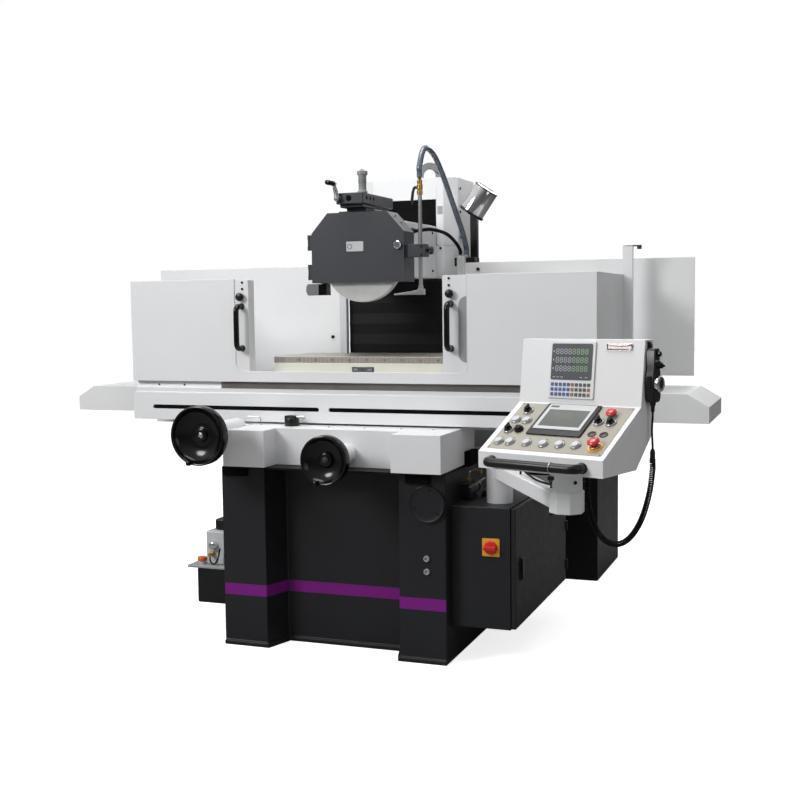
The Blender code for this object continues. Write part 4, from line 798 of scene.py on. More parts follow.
def handwheel(name, joint, radius, collar):
    """A deep dished black handwheel with a short grip and a hub cap."""
    x, y, z = joints[joint]["pos_m"]
    r = radius
    lip = -0.36 * r
    end = lip + 0.046
    profile = [(0, -0.011), (0.02, -0.011), (0.0255, -0.009), (0.028, -0.002), (0.34 * r, 0.0025),
        (0.5 * r, 0.0), (0.63 * r, 0.13 * lip), (0.75 * r, 0.31 * lip), (0.84 * r, 0.52 * lip),
        (0.905 * r, 0.76 * lip), (r - 0.01, lip + 0.0035), (r - 0.0075, lip + 0.001), (r - 0.0045, lip),
        (r - 0.0015, lip + 0.0014), (r, lip + 0.0045), (r, end - 0.006), (r - 0.0012, end - 0.002),
        (r - 0.004, end), (r - 0.009, end - 0.001), (0.9 * r, end - 0.004), (0.9 * r, lip + 0.028),
        (0.75 * r, 0.3 * lip + 0.012), (0.5 * r, 0.012), (0.031, 0.016), (0.03, 0.05), (0.015, 0.052),
        (0.015, collar), (0, collar)]
    piece(spin(profile, (x, y, z), TO_BACK, 96), f"{name}_rim", "gloss_black", name, stands_for=name)
    piece(spin(mm((10, 0), (12.5, 1.5), (12.5, 4), (9, 6), (6, 9.5), (0, 10.5)), (x, y - 0.0108, z),
        TO_FRONT, 40), f"{name}_hub_cap", "chrome" if name == "table_handwheel" else "dark_grey", name)
    spot = Vector((x - 0.26 * r, y + lip + 0.01, z - 0.9 * r))
    piece(spin(mm((8.5, 0), (8.5, 10), (9.8, 13), (10.2, 24), (8.5, 32), (4, 34)), spot, TO_FRONT, 32),
        f"{name}_grip", "gloss_black", name)
    piece(spin(mm((15.2, -6), (34, -6), (38, -2), (38, 0), (15.2, 0), (15.2, -6)),
        (x, y + collar - 0.0006, z), TO_BACK, 48), f"{name}_graduated_collar", "brushed", name)
    marks = []
    for i in range(40):
        b = 2 * pi * i / 40
        out = Vector((cos(b), 0, sin(b)))
        at = Vector((x, y + collar - 0.008, z)) + out * 0.0372
        side = Vector((-sin(b), 0, cos(b))) * 0.0004
        marks.append(push([(p.x, p.z) for p in (at - side, at + side, at + side + out * 0.0012,
            at - side + out * 0.0012)], "Y", at.y, at.y + (0.005 if i % 5 == 0 else 0.0032)))
    piece(marks, f"{name}_graduations", "shade_and_ink", name)


def make_handwheels():
    handwheel("table_handwheel", "table_handwheel_turn", 0.12, 0.0845)
    handwheel("cross_handwheel", "cross_handwheel_turn", 0.098, 0.0695)


# ==================================================================== table
def make_table():
    """Table: grooves in the front rail, the chuck's label, screws and clamps."""
    dress("table", "white", 0.003)
    dress("splash_guard", "white", 0.0012, 2)
    dress("chuck_body", "cream", 0.003, 2)
    dress("chuck_plate", "chuck", 0.0015, 2)
    low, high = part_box("table")
    front = low.y
    for name, (left, right) in (("left", (-0.948, -0.134)), ("right", (-0.09, 0.98))):
        # Painted shade: a near-black strip at the bottom of each groove for the dark inside it.
        groove = rounded((left + SKIN, right - SKIN), (0.976 + SKIN, 0.994 - SKIN), 0.0083)
        piece(push(groove, "Y", front + 0.0085, front + 0.0095), f"rail_groove_{name}", "shade_and_ink", "table")
        corners = []
        for x, way in ((left, 1), (right, -1)):
            for z, up in ((0.976, 1), (0.994, -1)):
                a = atan2(-up, -way)
                turn = [(x + way * 0.009 + 0.009 * cos(a + t), z + up * 0.009 + 0.009 * sin(a + t))
                    for t in (-pi / 4, -pi / 8, 0, pi / 8, pi / 4)]
                corners.append(push([(x, z), *turn], "Y", front, front + 0.0099))
        piece(corners, f"rail_groove_corners_{name}", "white", "table")
    # The strip along the table's top edge is dark partly as painted shade under the splash guard.
    shadow = front + 0.034 - 0.015
    piece(slab((-0.61, 1.044), (shadow + 0.0006, shadow + 0.01), (high.z - 0.03, high.z - 0.0004)),
        "drain_channel", "shaded_edge_strip", "table", 0.0008, 2)
    chuck_low, chuck_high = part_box("chuck_body")
    face = chuck_low.y
    piece(push(rounded((-0.029, 0.072), (1.14, 1.161), 0.002), "Y", face - 0.0014, face),
        "chuck_plate_label", "readout", "table", 0.0004, 2)
    piece([push([(x - 0.01, 1.146), (x + 0.01, 1.146), (x + 0.01, 1.155), (x - 0.01, 1.155)], "Y",
        face - 0.0019, face - 0.0012) for x in (-0.012, 0.052)], "chuck_label_fields", "silver", "table")
    plate_low, plate_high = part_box("chuck_plate")
    run = plate_high.x - plate_low.x - 0.08
    spots = [(plate_low.x + 0.04 + i * run / 9, plate_low.y, (plate_low.z + plate_high.z) / 2)
        for i in range(10)]
    piece(screws(spots, TO_FRONT, 0.0045), "chuck_screws", "steel", "table")
    piece(spin(mm((19, 0), (21, 6), (19, 18)), (plate_high.x, 0.1, 1.135), TO_RIGHT, 32),
        "chuck_cable_gland", "black", "table")
    piece([slab((x - 0.018, x + 0.018), (chuck_high.y, chuck_high.y + 0.03),
        (chuck_low.z + 0.003, chuck_low.z + 0.018)) for x in (-0.3, 0.0, 0.3)], "chuck_clamps", "steel",
        "table", 0.002)


def make_splash_guard():
    """Splash guard: hook, screws and lips, and the two sliding doors."""
    low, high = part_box("splash_guard")
    front = low.y
    post, depth, top = 1.047, (0.311, 0.327), high.z
    piece([slab((post + 0.002, post + 0.076), depth, (top - 0.006, top - 0.0005)),
        slab((post + 0.058, post + 0.076), depth, (top - 0.018, top - 0.004))], "guard_hook", "dark_grey",
        "table", 0.0015, 2)
    spots = [(x, front + 0.0285, 1.082) for x in (-0.93, -0.8, 0.88, 0.98)]
    piece(screws(spots, (0, -1, 0.3), 0.0045), "guard_screws", "black", "table")
    piece([slab(x, (front + 0.0042, front + 0.014), (1.5395, 1.5428))
        for x in ((-1.045, -0.527), (0.524, 1.045))], "guard_top_lips", "white", "table", 0.0008, 2)
    for side, (edge, way) in (("left", (-0.46, -1)), ("right", (0.419, 1))):
        door = f"{side}_door"
        dress(f"{side}_guard_door", "white", 0.001, 2)
        face = front + 0.0043
        strip = edge + way * 0.028
        piece(screws([(strip, face, z) for z in (1.528, 1.5)], TO_FRONT, 0.005), f"{side}_door_screws",
            "black", door)
        knob = Vector((edge + way * 0.034, face, 1.466))
        piece(spin(mm((6, 0), (6, 6), (16.5, 8), (18, 14), (16.5, 22), (10, 25)), knob, TO_FRONT, 32),
            f"{side}_door_knob", "black", door)
        fold = sorted((edge + way * 0.0005, edge + way * 0.0045))
        deep = 0.055 if side == "left" else 0.015
        piece(slab(fold, (face + 0.004, face + deep), (1.106, 1.538)), f"{side}_door_fold", "white", door,
            0.0008, 2)
        make_grip(side, edge + way * 0.034, face, door)
    hole = [(0.5215, 1.183), (0.5215, 1.46)]
    hole += arc((0.5215, 1.42), 0.035, 90, 180, 8)
    hole += arc((0.5215, 1.223), 0.035, 180, 270, 8)
    piece(push(hole, "Y", front + 0.0034, front + 0.0042), "right_door_window", "light_grey", "right_door")
    piece(slab((0.522, 0.5238), (front - SKIN, front + 0.001), (1.15, 1.5405)), "guard_edge_right",
        "post_grey", "table")


def make_grip(side, x, face, body):
    """A black pull handle with round feet, standing on a door."""
    low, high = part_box(f"{side}_door_grip")
    out, r = low.y + 0.012, 0.024
    z = (low.z + 0.012, high.z - 0.012)
    bend = [(face + GAP, z[0]), (out + r, z[0])]
    bend += arc((out + r, z[0] + r), r, 270, 180, 8)[1:]
    bend += arc((out + r, z[1] - r), r, 180, 90, 8)
    bend += [(face + GAP, z[1])]
    bar = tube([(x, y, zz) for y, zz in bend], 0.0118, 20)
    feet = [spin(mm((14.5, 0), (14.5, 2), (12.2, 7)), (x, face, zz), TO_FRONT, 28) for zz in z]
    piece([bar, *feet], f"{side}_pull_handle", "gloss_black", body, stands_for=f"{side}_door_grip")


# =============================================================== wheel head
def make_head():
    """Wheel head: seams, screws, the wheel with its flange, and what it carries."""
    dress("wheel_head", "white", 0.006)
    dress("wheel_guard", "dark_grey", 0.003)
    dress("guard_cover", "dark_grey", 0.0022)
    dress("spindle", "steel")
    low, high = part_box("wheel_head")
    piece([slab((high.x - 0.001, high.x + SKIN), (y, y + 0.0016), (low.z + 0.004, high.z - 0.004))
        for y in (low.y + 0.16, low.y + 0.34)], "head_seams", "post_grey", "wheel_head")
    piece([cap_screw((x, y, z), (way, 0, 0), 0.006) for y in (low.y + 0.06, low.y + 0.25, low.y + 0.42)
        for z in (low.z + 0.035, high.z - 0.035) for x, way in ((high.x, 1), (low.x, -1))], "head_screws",
        "black", "wheel_head")
    piece(spin(mm((22, 0), (22, 4), (14, 6), (12, 20), (0, 22)), (high.x, low.y + 0.08, low.z + 0.06),
        TO_RIGHT, 6), "head_eye_bolt", "black", "wheel_head", 0.001)
    piece(spin(mm((14, 0), (14, 8), (11.5, 9), (11.5, 18)), (high.x, 0.14, 1.75), TO_RIGHT, 6),
        "head_cable_gland", "black", "wheel_head", 0.0008, 2)
    centre = joint_at("spindle_turn")
    wheel_low, wheel_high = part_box("grinding_wheel")
    r, w = (wheel_high.x - wheel_low.x) / 2, wheel_high.y - wheel_low.y
    y0 = wheel_low.y - centre.y
    piece(spin([(0.0263, y0), (r - 0.002, y0), (r, y0 + 0.002), (r, y0 + w - 0.002), (r - 0.002, y0 + w),
        (0.0263, y0 + w), (0.0263, y0)], centre, TO_BACK, 128), "abrasive_wheel", "abrasive", "spindle",
        stands_for="grinding_wheel")
    piece(spin([(0.0264, y0 - SKIN), (0.09, y0 - SKIN), (0.09, y0 + 0.0002), (0.0264, y0 + 0.0002),
        (0.0264, y0 - SKIN)], centre, TO_BACK, 64), "wheel_blotter", "wheel_blotter", "spindle")
    flange = [(0.0186, y0 - 0.0052), (0.062, y0 - 0.0052), (0.0635, y0 - 0.0035), (0.0635, y0 - SKIN),
        (0.0186, y0 - SKIN), (0.0186, y0 - 0.0052)]
    piece(spin(flange, centre, TO_BACK, 64), "wheel_flange", "steel", "spindle")
    make_cover_details()
    make_left_spout(low)
    make_dresser()
    make_pipe()


def make_cover_details():
    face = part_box("guard_cover")[0].y
    piece(push(rounded((-0.06, 0.019), (1.654, 1.696), 0.004), "Y", face - 0.0011, face),
        "cover_label_plate", "button", "guard_cover", 0.0004, 2)
    piece(spin(mm((9, 0), (11.2, 0), (11.2, 0.7), (9, 0.7), (9, 0)), (-0.044, face - 0.0011, 1.675),
        TO_FRONT, 32), "cover_label_ring", "key_blue", "guard_cover")
    lock = joint_at("cover_lock_turn")
    piece(spin(mm((16.5, 0), (17.5, 2), (16.5, 9.5), (13, 12), (4.5, 12), (4.5, 6)),
        (lock.x, face - GAP, lock.z), TO_FRONT, 48), "cover_lock_button", "chrome", "cover_lock",
        stands_for="cover_lock")
    pin = joints["guard_cover_swing"]["pos_m"]
    piece([spin(mm((7, 0), (9.2, 0), (9.2, 18), (7, 18), (7, 0)), (pin[0], pin[1], z + lift), UP, 24)
        for z in (1.536, 1.663) for lift in (0.0, 0.048)], "cover_hinge_knuckles", "dark_grey",
        "guard_cover")
    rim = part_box("wheel_guard")[0].y
    spots = [(0.1705 - 0.026 * i, rim + 0.045, 1.7725 + 0.0295 * i) for i in range(2)]
    piece(screws(spots, Vector((0.086, 0, 0.076)).normalized(), 0.0042), "guard_bevel_screws", "black",
        "wheel_head")


def make_left_spout(low):
    """The guard's exhaust stub at the lower left, with the dark inside of its mouth as painted shade."""
    y = (low.y - 0.045, low.y - 0.0006)
    outline = [(-0.193, 1.47), (-0.193, 1.5212), (-0.286, 1.5212)]
    outline += [(-0.294, 1.508), (-0.2955, 1.49), (-0.287, 1.47)]
    piece(push(outline, "Y", *y), "exhaust_stub", "stub_grey", "wheel_head", 0.003)
    # Painted shade: a near-black plate for the dark inside of the stub's mouth.
    piece(push([(-0.1945, 1.4715), (-0.1945, 1.518), (-0.233, 1.518), (-0.233, 1.4715)], "Y", y[0] - 0.0016,
        y[0] + 0.0004), "exhaust_mouth", "shade_and_ink", "wheel_head", 0.0006, 2)


def make_dresser():
    """Wheel dresser on top of the guard: block, slide, sleeve and crank."""
    high = top_corner("dresser")
    top = 1.899
    x, y = (-0.086, 0.038), (-0.172, 0.184)
    piece(slab(x, y, (1.852, top)), "dresser_block", "dark_grey", "wheel_head", 0.004, stands_for="dresser")
    piece(slab((x[0] + 0.01, x[1] - 0.01), (y[0] + 0.02, y[1] - 0.03), (1.8385, 1.8525)), "dresser_slide",
        "black", "wheel_head", 0.002)
    piece(slab((-0.064, 0.024), (-0.109, -0.006), (1.8203, 1.8386)), "dresser_foot", "dark_grey",
        "wheel_head", 0.002)
    piece(slab((-0.1, 0.07), (-0.112, 0.0), (1.8203, 1.8262)), "dresser_base", "dark_grey", "wheel_head",
        0.0015)
    centre = Vector((0.022, -0.137, top - 0.0002))
    height = high.z - top
    piece(spin([(0.0215, 0), (0.0215, 0.006), (0.0165, 0.008), (0.0165, 0.036), (0.0172, 0.037),
        (0.0172, 0.072), (0.0215, 0.075), (0.0218, 0.09), (0.0185, height - 0.003), (0.006, height)], centre,
        UP, 48), "dresser_sleeve", "light_grey", "wheel_head")
    piece(radial_bars(centre, 0.0212, 0.0226, 0.0011, 24, centre.z + 0.0765, centre.z + 0.0885),
        "dresser_knurl", "light_grey", "wheel_head")
    piece([spin(mm((16.6, 0), (17.4, 0), (17.4, 0.5), (16.6, 0.5), (16.6, 0)),
        (centre.x, centre.y, centre.z + 0.04 + 0.0034 * i), UP, 40) for i in range(9)], "dresser_scale",
        "dark_grey", "wheel_head")
    piece(spin(mm((7.5, 0), (7.5, 3.5), (5, 5.5), (0, 6)), (centre.x, centre.y, high.z - 0.0034), UP, 20),
        "dresser_sleeve_screw", "black", "wheel_head")
    # Painted shade: near-black discs for the dark inside the dresser's holes.
    holes = [spin(mm((8, 0), (8, 0.5)), (x[1], yy, 1.878), TO_RIGHT, 24) for yy in (-0.13, -0.09, -0.05)]
    piece(holes, "dresser_holes", "shade_and_ink", "wheel_head")
    piece(spin(mm((12.5, 0), (12.5, 1.5)), (-0.028, y[0] + 0.0004, 1.876), TO_FRONT, 32),
        "dresser_front_plug", "shade_and_ink", "wheel_head")
    crank = joint_at("dresser_crank_turn")
    tip = crank + Vector((-0.012, -0.012, 0.064))
    arm = tube(smooth_path([crank + Vector((0, -0.014, 0)), crank + Vector((-0.004, -0.015, 0.022)),
        crank + Vector((-0.009, -0.017, 0.046)), tip + Vector((0, -0.004, 0))], 8),
        [0.012 - 0.0002 * i for i in range(25)], 20)
    piece([spin(mm((12.5, 0), (13.5, 6), (12.5, 22), (7, 25)), crank, TO_FRONT, 32), arm,
        spin(mm((8.5, 0), (8.5, 12), (0, 14)), (tip.x, tip.y + 0.004, tip.z), TO_FRONT, 24)],
        "dresser_crank_arm", "silver", "dresser_crank", stands_for="dresser_crank")
    piece(spin(mm((9, 0), (11, 6), (9.8, 20), (10.8, 40), (9.5, 48), (0, 50)),
        (tip.x, tip.y - 0.009, tip.z - 0.002), (-0.25, -0.96, 0.05), 32), "dresser_crank_grip",
        "gloss_black", "dresser_crank")


def make_pipe():
    """Coolant pipe beside the wheel: riser, brass valve, nozzle, lever, knob."""
    x, y = PIPE_X, PIPE_Y
    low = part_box("coolant_pipe")[0]
    foot = low.z + 0.022
    piece(spin([(0.0085, foot - 0.004), (0.0085, 1.8848)], (x, y, 0), UP, 40), "coolant_riser", "steel",
        "wheel_head", stands_for="coolant_pipe")
    body = [(0, 0), (0.0125, 0), (0.0125, 0.012), (0.0105, 0.014), (0.0105, 0.02), (0.013, 0.022),
        (0.013, 0.04), (0.0105, 0.042), (0.0105, 0.05), (0.012, 0.052), (0.012, 0.058), (0.008, 0.059)]
    barbs = [(0.0085, 0.062), (0.007, 0.064), (0.0085, 0.067), (0.007, 0.069), (0.0065, 0.0718), (0, 0.0718)]
    piece(spin([*body, *barbs], (x, y, 1.885), UP, 32), "coolant_valve", "brass", "wheel_head")
    piece([spin(mm((8.6, 0), (11.8, 0), (11.8, 30), (8.6, 30), (8.6, 0)), (x, y, foot - 0.012), UP, 6),
        slab((x - 0.013, x + 0.016), (y - 0.013, y + 0.013), (low.z + 0.001, foot + 0.004))], "nozzle_block",
        "steel", "wheel_head", 0.0012, 2)
    tip = [(x - 0.012, low.z + 0.002), (x - 0.012, foot), (x - 0.04, low.z + 0.017),
        (x - 0.117, low.z + 0.006), (x - 0.117, low.z + 0.001)]
    piece(push(tip, "Y", y - 0.0135, y + 0.0135), "nozzle_fan", "steel", "wheel_head", 0.0012, 2)
    pivot = joint_at("valve_lever_turn")
    lever = [(x - 0.015, 1.921), (x - 0.023, 1.9205), (x - 0.03, 1.914), (x - 0.036, 1.896),
        (x - 0.04, 1.864), (x - 0.038, 1.844), (x - 0.033, 1.843), (x - 0.031, 1.862), (x - 0.027, 1.892),
        (x - 0.023, 1.908), (x - 0.015, 1.909)]
    piece(push(lever, "Y", y - 0.0065, y + 0.0065), "valve_lever_grip", "black", "valve_lever", 0.0018,
        stands_for="valve_lever")
    piece(spin(mm((6, 0), (6, 10), (0, 12)), (x - 0.0133, y, pivot.z), TO_LEFT, 6), "valve_lever_nut",
        "silver", "valve_lever")
    knob = joint_at("clamp_knob_turn")
    lobes = []
    for i in range(42):
        a = 2 * pi * i / 42
        radius = 0.0155 + 0.0025 * cos(7 * a)
        lobes.append((knob.y + radius * cos(a), knob.z + radius * sin(a)))
    star = push(lobes, "X", knob.x + 0.01, knob.x + 0.0245)
    piece([star, spin(mm((7.5, 0), (9.5, 10.2)), knob, TO_RIGHT, 24)], "clamp_star_knob", "black",
        "clamp_knob", 0.0015, 2, stands_for="clamp_knob")
    guard_low, guard_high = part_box("wheel_guard")
    spots = [(guard_high.x - 0.018, guard_low.y + 0.0022, z) for z in (1.634, 1.668)]
    piece(screws(spots, TO_FRONT, 0.0045), "clamp_screws", "black", "wheel_head")


# ================================================================== console
DESK_LOW, DESK_HIGH, DESK_RUN, FRONT = 0.942, 1.086, 0.25, -0.2
SLOPE = (DESK_HIGH - DESK_LOW) / DESK_RUN
DESK_UP = Vector((0, 1, SLOPE)).normalized()
DESK_OUT = Vector((0, -SLOPE, 1)).normalized()
PANEL_TOP, PANEL_LEAN = 1.301, 0.027
PANEL_UP = Vector((0, PANEL_LEAN, PANEL_TOP - DESK_HIGH)).normalized()
PANEL_OUT = Vector((0, -(PANEL_TOP - DESK_HIGH), PANEL_LEAN)).normalized()


def on_face(bm, origin, up, out):
    """Lay a shape drawn in (x, y, height) on one of the console's faces."""
    across = Vector(TO_RIGHT)
    turn = Matrix((across, up, out)).transposed().to_4x4()
    bmesh.ops.transform(bm, verts=bm.verts, matrix=Matrix.Translation(origin) @ turn)
    return to_console(bm)


def on_desk(bm):
    """Lay a shape on the sloping desk, from the middle of its front edge."""
    return on_face(bm, Vector((0, FRONT, DESK_LOW)), DESK_UP, DESK_OUT)


def on_panel(bm):
    """Lay a shape on the upper panel, from the middle of its lower edge."""
    return on_face(bm, Vector((0, FRONT + DESK_RUN, DESK_HIGH)), PANEL_UP, PANEL_OUT)


def flat(x, y, z, radius=0.0):
    """A plate drawn on a face, with round corners if it has a radius."""
    if radius:
        return push(rounded(x, y, radius), "Z", *z)
    return slab(x, y, z)


def make_arm():
    """The swing arm: a post, a straight beam, the console's eight-sided hub and a cable."""
    post, hub = joint_at("arm_swing"), SWIVEL
    foot = 0.6313
    arm_low, arm_high = 0.73, 0.786
    piece(spin([(0.0525, foot), (0.053, foot + 0.002), (0.053, arm_high - 0.006), (0.047, arm_high)],
        (post.x, post.y, 0), UP, 64), "arm_post", "white", "console_arm", stands_for="console_arm")
    a, b = Vector((post.x, post.y, 0)), Vector((hub.x, hub.y, 0))
    side = (b - a).normalized().cross(Vector(UP)) * 0.03
    corners = [a + side, b + side, b - side, a - side]
    piece(push([(p.x, p.y) for p in corners], "Z", arm_low, arm_high - 0.0004), "arm_beam", "white",
        "console_arm", 0.004)
    ring = [(hub.x + 0.0598 * cos(radians(22.5 + 45 * i)), hub.y + 0.0598 * sin(radians(22.5 + 45 * i)))
        for i in range(8)]
    piece(push(ring, "Z", arm_low - 0.0002, arm_high + 0.018), "arm_hub_block", "white", "console_arm",
        0.004)
    piece(spin([(0.052, 0), (0.052, 0.07), (0.058, 0.072), (0.058, UNDERSIDE - arm_high - 0.018)],
        (hub.x, hub.y, arm_high + 0.0178), UP, 64), "arm_hub_neck", "white", "console_arm")
    bolt = Vector((hub.x, hub.y, arm_high + 0.05))
    piece(cap_screw(bolt + Vector((0.036, -0.0374, 0)), (0.69, -0.72, 0), 0.006), "hub_lock_screw", "black",
        "console_arm")
    middle = a.lerp(b, 0.5)
    piece(tube(smooth_path([(middle.x - 0.06, middle.y + 0.09, arm_high),
        (middle.x - 0.05, middle.y + 0.07, arm_high + 0.022), (middle.x - 0.01, middle.y + 0.01,
        arm_high + 0.012), (middle.x + 0.06, middle.y - 0.12, arm_high + 0.01),
        (b.x - 0.052, b.y + 0.078, arm_high + 0.02), (b.x - 0.03, b.y + 0.046, arm_high + 0.04)], 8), 0.0042,
        12), "arm_cable", "rubber", "console_arm")


def make_console():
    """The console's plates, and what sits on its desk, panel and back."""
    dress("console_box", "white", 0.0035)
    piece(on_desk(flat((-0.208, 0.212), (0.02, 0.281), (0.0001, 0.0015), 0.003)), "control_plate", "beige",
        "console")
    corners = [(-0.202, 0.026), (0.206, 0.026), (-0.202, 0.275), (0.206, 0.275)]
    piece([on_desk(cap_screw((x, y, 0.0015), UP, 0.0028)) for x, y in corners], "control_plate_screws",
        "silver", "console")
    make_handle()
    make_screen()
    make_readout()
    make_controls()
    make_clip()
    make_pendant()
    piece([to_console(slab((-0.09, 0.09), (0.1308, 0.1345), (z, z + 0.007)))
        for z in [1.08 + 0.018 * i for i in range(9)]], "console_back_louvres", "white", "console", 0.001, 2)
    piece(to_console(push([(0.1045, 0.992), (0.108, 0.99), (0.1335, 1.296), (0.13, 1.298)], "X", -0.222,
        0.222)), "console_back_cover", "white_two", "console", 0.0008, 2)


def make_handle():
    """The black tube handle across the console's front."""
    low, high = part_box("console_handle")
    z = (low.z + high.z) / 2
    front, out, ends, r = FRONT - GAP, 0.0435, (-0.175, 0.158), 0.0245
    bar = [(ends[0], front), (ends[0], front - out + r)]
    bar += arc((ends[0] + r, front - out + r), r, 180, 270, 10)
    bar += arc((ends[1] - r, front - out + r), r, 270, 360, 10)
    bar += [(ends[1], front)]
    tube_bar = tube([on_console(u, v, z) for u, v in bar], 0.0153, 28)
    feet = [to_console(spin(mm((18, 0), (18, 3), (15.8, 6)), (u, front + 0.0002, z), TO_FRONT, 32))
        for u in ends]
    piece([tube_bar, *feet], "front_handle", "black", "console", stands_for="console_handle")
    ring_u = 0.072
    ring = [on_console(ring_u, front - out + 0.0185 * cos(a), z + 0.0185 * sin(a) - 0.002)
        for a in [2 * pi * i / 24 for i in range(25)]]
    piece(tube(ring, 0.0011, 8), "key_ring", "chrome", "console")
    keys = []
    for du, turn in ((-0.004, 0.1), (0.004, -0.08)):
        centre = on_console(ring_u + du, front - out + 0.001, z - 0.033)
        keys.append(spin(mm((7.5, -1.2), (7.5, 1.2)), centre, (cos(YAW) * turn, sin(YAW) * turn - 1, 0), 24))
        blade = [centre + Vector((0, 0, -0.006)), centre + Vector((turn * 0.06, 0, -0.03))]
        keys.append(tube(blade, 0.0021, 8))
    piece(keys, "switch_keys", "black", "console")


def make_screen():
    """The touch screen: frame, bezel, glass and a small tag."""
    for name, paint, x, y, z, corner, bevel, segments in (("screen_frame", "black", (-0.103, 0.098),
            (0.104, 0.278), (0.0016, 0.008), 0.004, 0.002, 3),
            ("screen_bezel", "bezel", (-0.091, 0.085), (0.132, 0.272), (0.0079, 0.0102), 0.003, 0.0008, 2),
            ("screen_glass", "screen", (-0.078, 0.074), (0.147, 0.24), (0.0101, 0.0106), 0.001, 0, 3),
            ("screen_tag", "key_grey", (-0.082, -0.052), (0.252, 0.262), (0.0101, 0.0105), 0, 0, 3)):
        piece(on_desk(flat(x, y, z, corner)), name, paint, "console", bevel, segments)


def digit(x, y, width, height, z):
    """All seven bars of one display digit."""
    bar, gap = 0.12 * height, 0.02 * height
    left, right = x, x + width
    half = height / 2
    bars = []
    for level in (0, half - bar / 2, height - bar):
        bars.append(flat((left + bar, right - bar), (y + level, y + level + bar), z))
    for side in (left, right - bar):
        for level in (bar + gap, half + bar / 2 + gap):
            bars.append(flat((side, side + bar), (y + level, y + level + half - 1.5 * bar - 2 * gap), z))
    return bars


def make_readout():
    """A display of three rows of digits, with three rows of keys below it."""
    outer = ((-0.116, 0.057), (0.018, 0.211))
    piece(on_panel(flat(*outer, (0.0001, 0.006), 0.004)), "readout_case", "white_two", "console", 0.0018)
    face = ((-0.108, 0.047), (0.08, 0.202))
    piece(on_panel(flat(*face, (0.0059, 0.007), 0.006)), "readout_panel", "readout", "console")
    grey, green = [], []
    pitch, width, tall = 0.0158, 0.0122, 0.0185
    row_pitch, shown = 0.0285, (0.007, 0.0074)
    for row in range(3):
        for i in range(8):
            bars = digit(-0.092 + pitch * i, 0.166 - row_pitch * row, width, tall, shown)
            (grey if i < 4 else green).extend(on_panel(b) for b in bars)
    piece(grey, "readout_digits_dim", "segment", "console")
    piece(green, "readout_digits_lit", "segment_lit", "console")
    tags = [on_panel(flat((-0.102, -0.098), (y, y + 0.006), shown))
        for y in [0.1725 - row_pitch * i for i in range(3)]]
    tags += [on_panel(flat((x, x + 0.01), (0.088, 0.0905), shown))
        for x in (-0.1, -0.085, -0.07, 0.003, 0.023)]
    piece(tags, "readout_tags", "segment", "console")
    groups = {"key_blue": [], "key_orange": [], "key_grey": []}
    for row in range(3):
        for i in range(10):
            x = -0.105 + 0.0154 * i
            y = 0.026 + 0.0165 * row
            orange = i == 5 or (i > 8 and row < 2)
            kind = "key_blue" if i < 5 else "key_orange" if orange else "key_grey"
            key = flat((x, x + 0.0108), (y, y + 0.0112), (0.0059, 0.0078), 0.0015)
            groups[kind].append(on_panel(key))
    for kind, keys in groups.items():
        piece(keys, f"readout_{kind}s", kind, "console")


def ring_on_desk(u, at, inner, outer, height):
    """The ring round a control."""
    return on_desk(spin([(inner, 0.0014), (outer, 0.0014), (outer, height - 0.001), (outer - 0.001, height),
        (inner, height), (inner, 0.0014)], (u, at, 0), UP, 40))


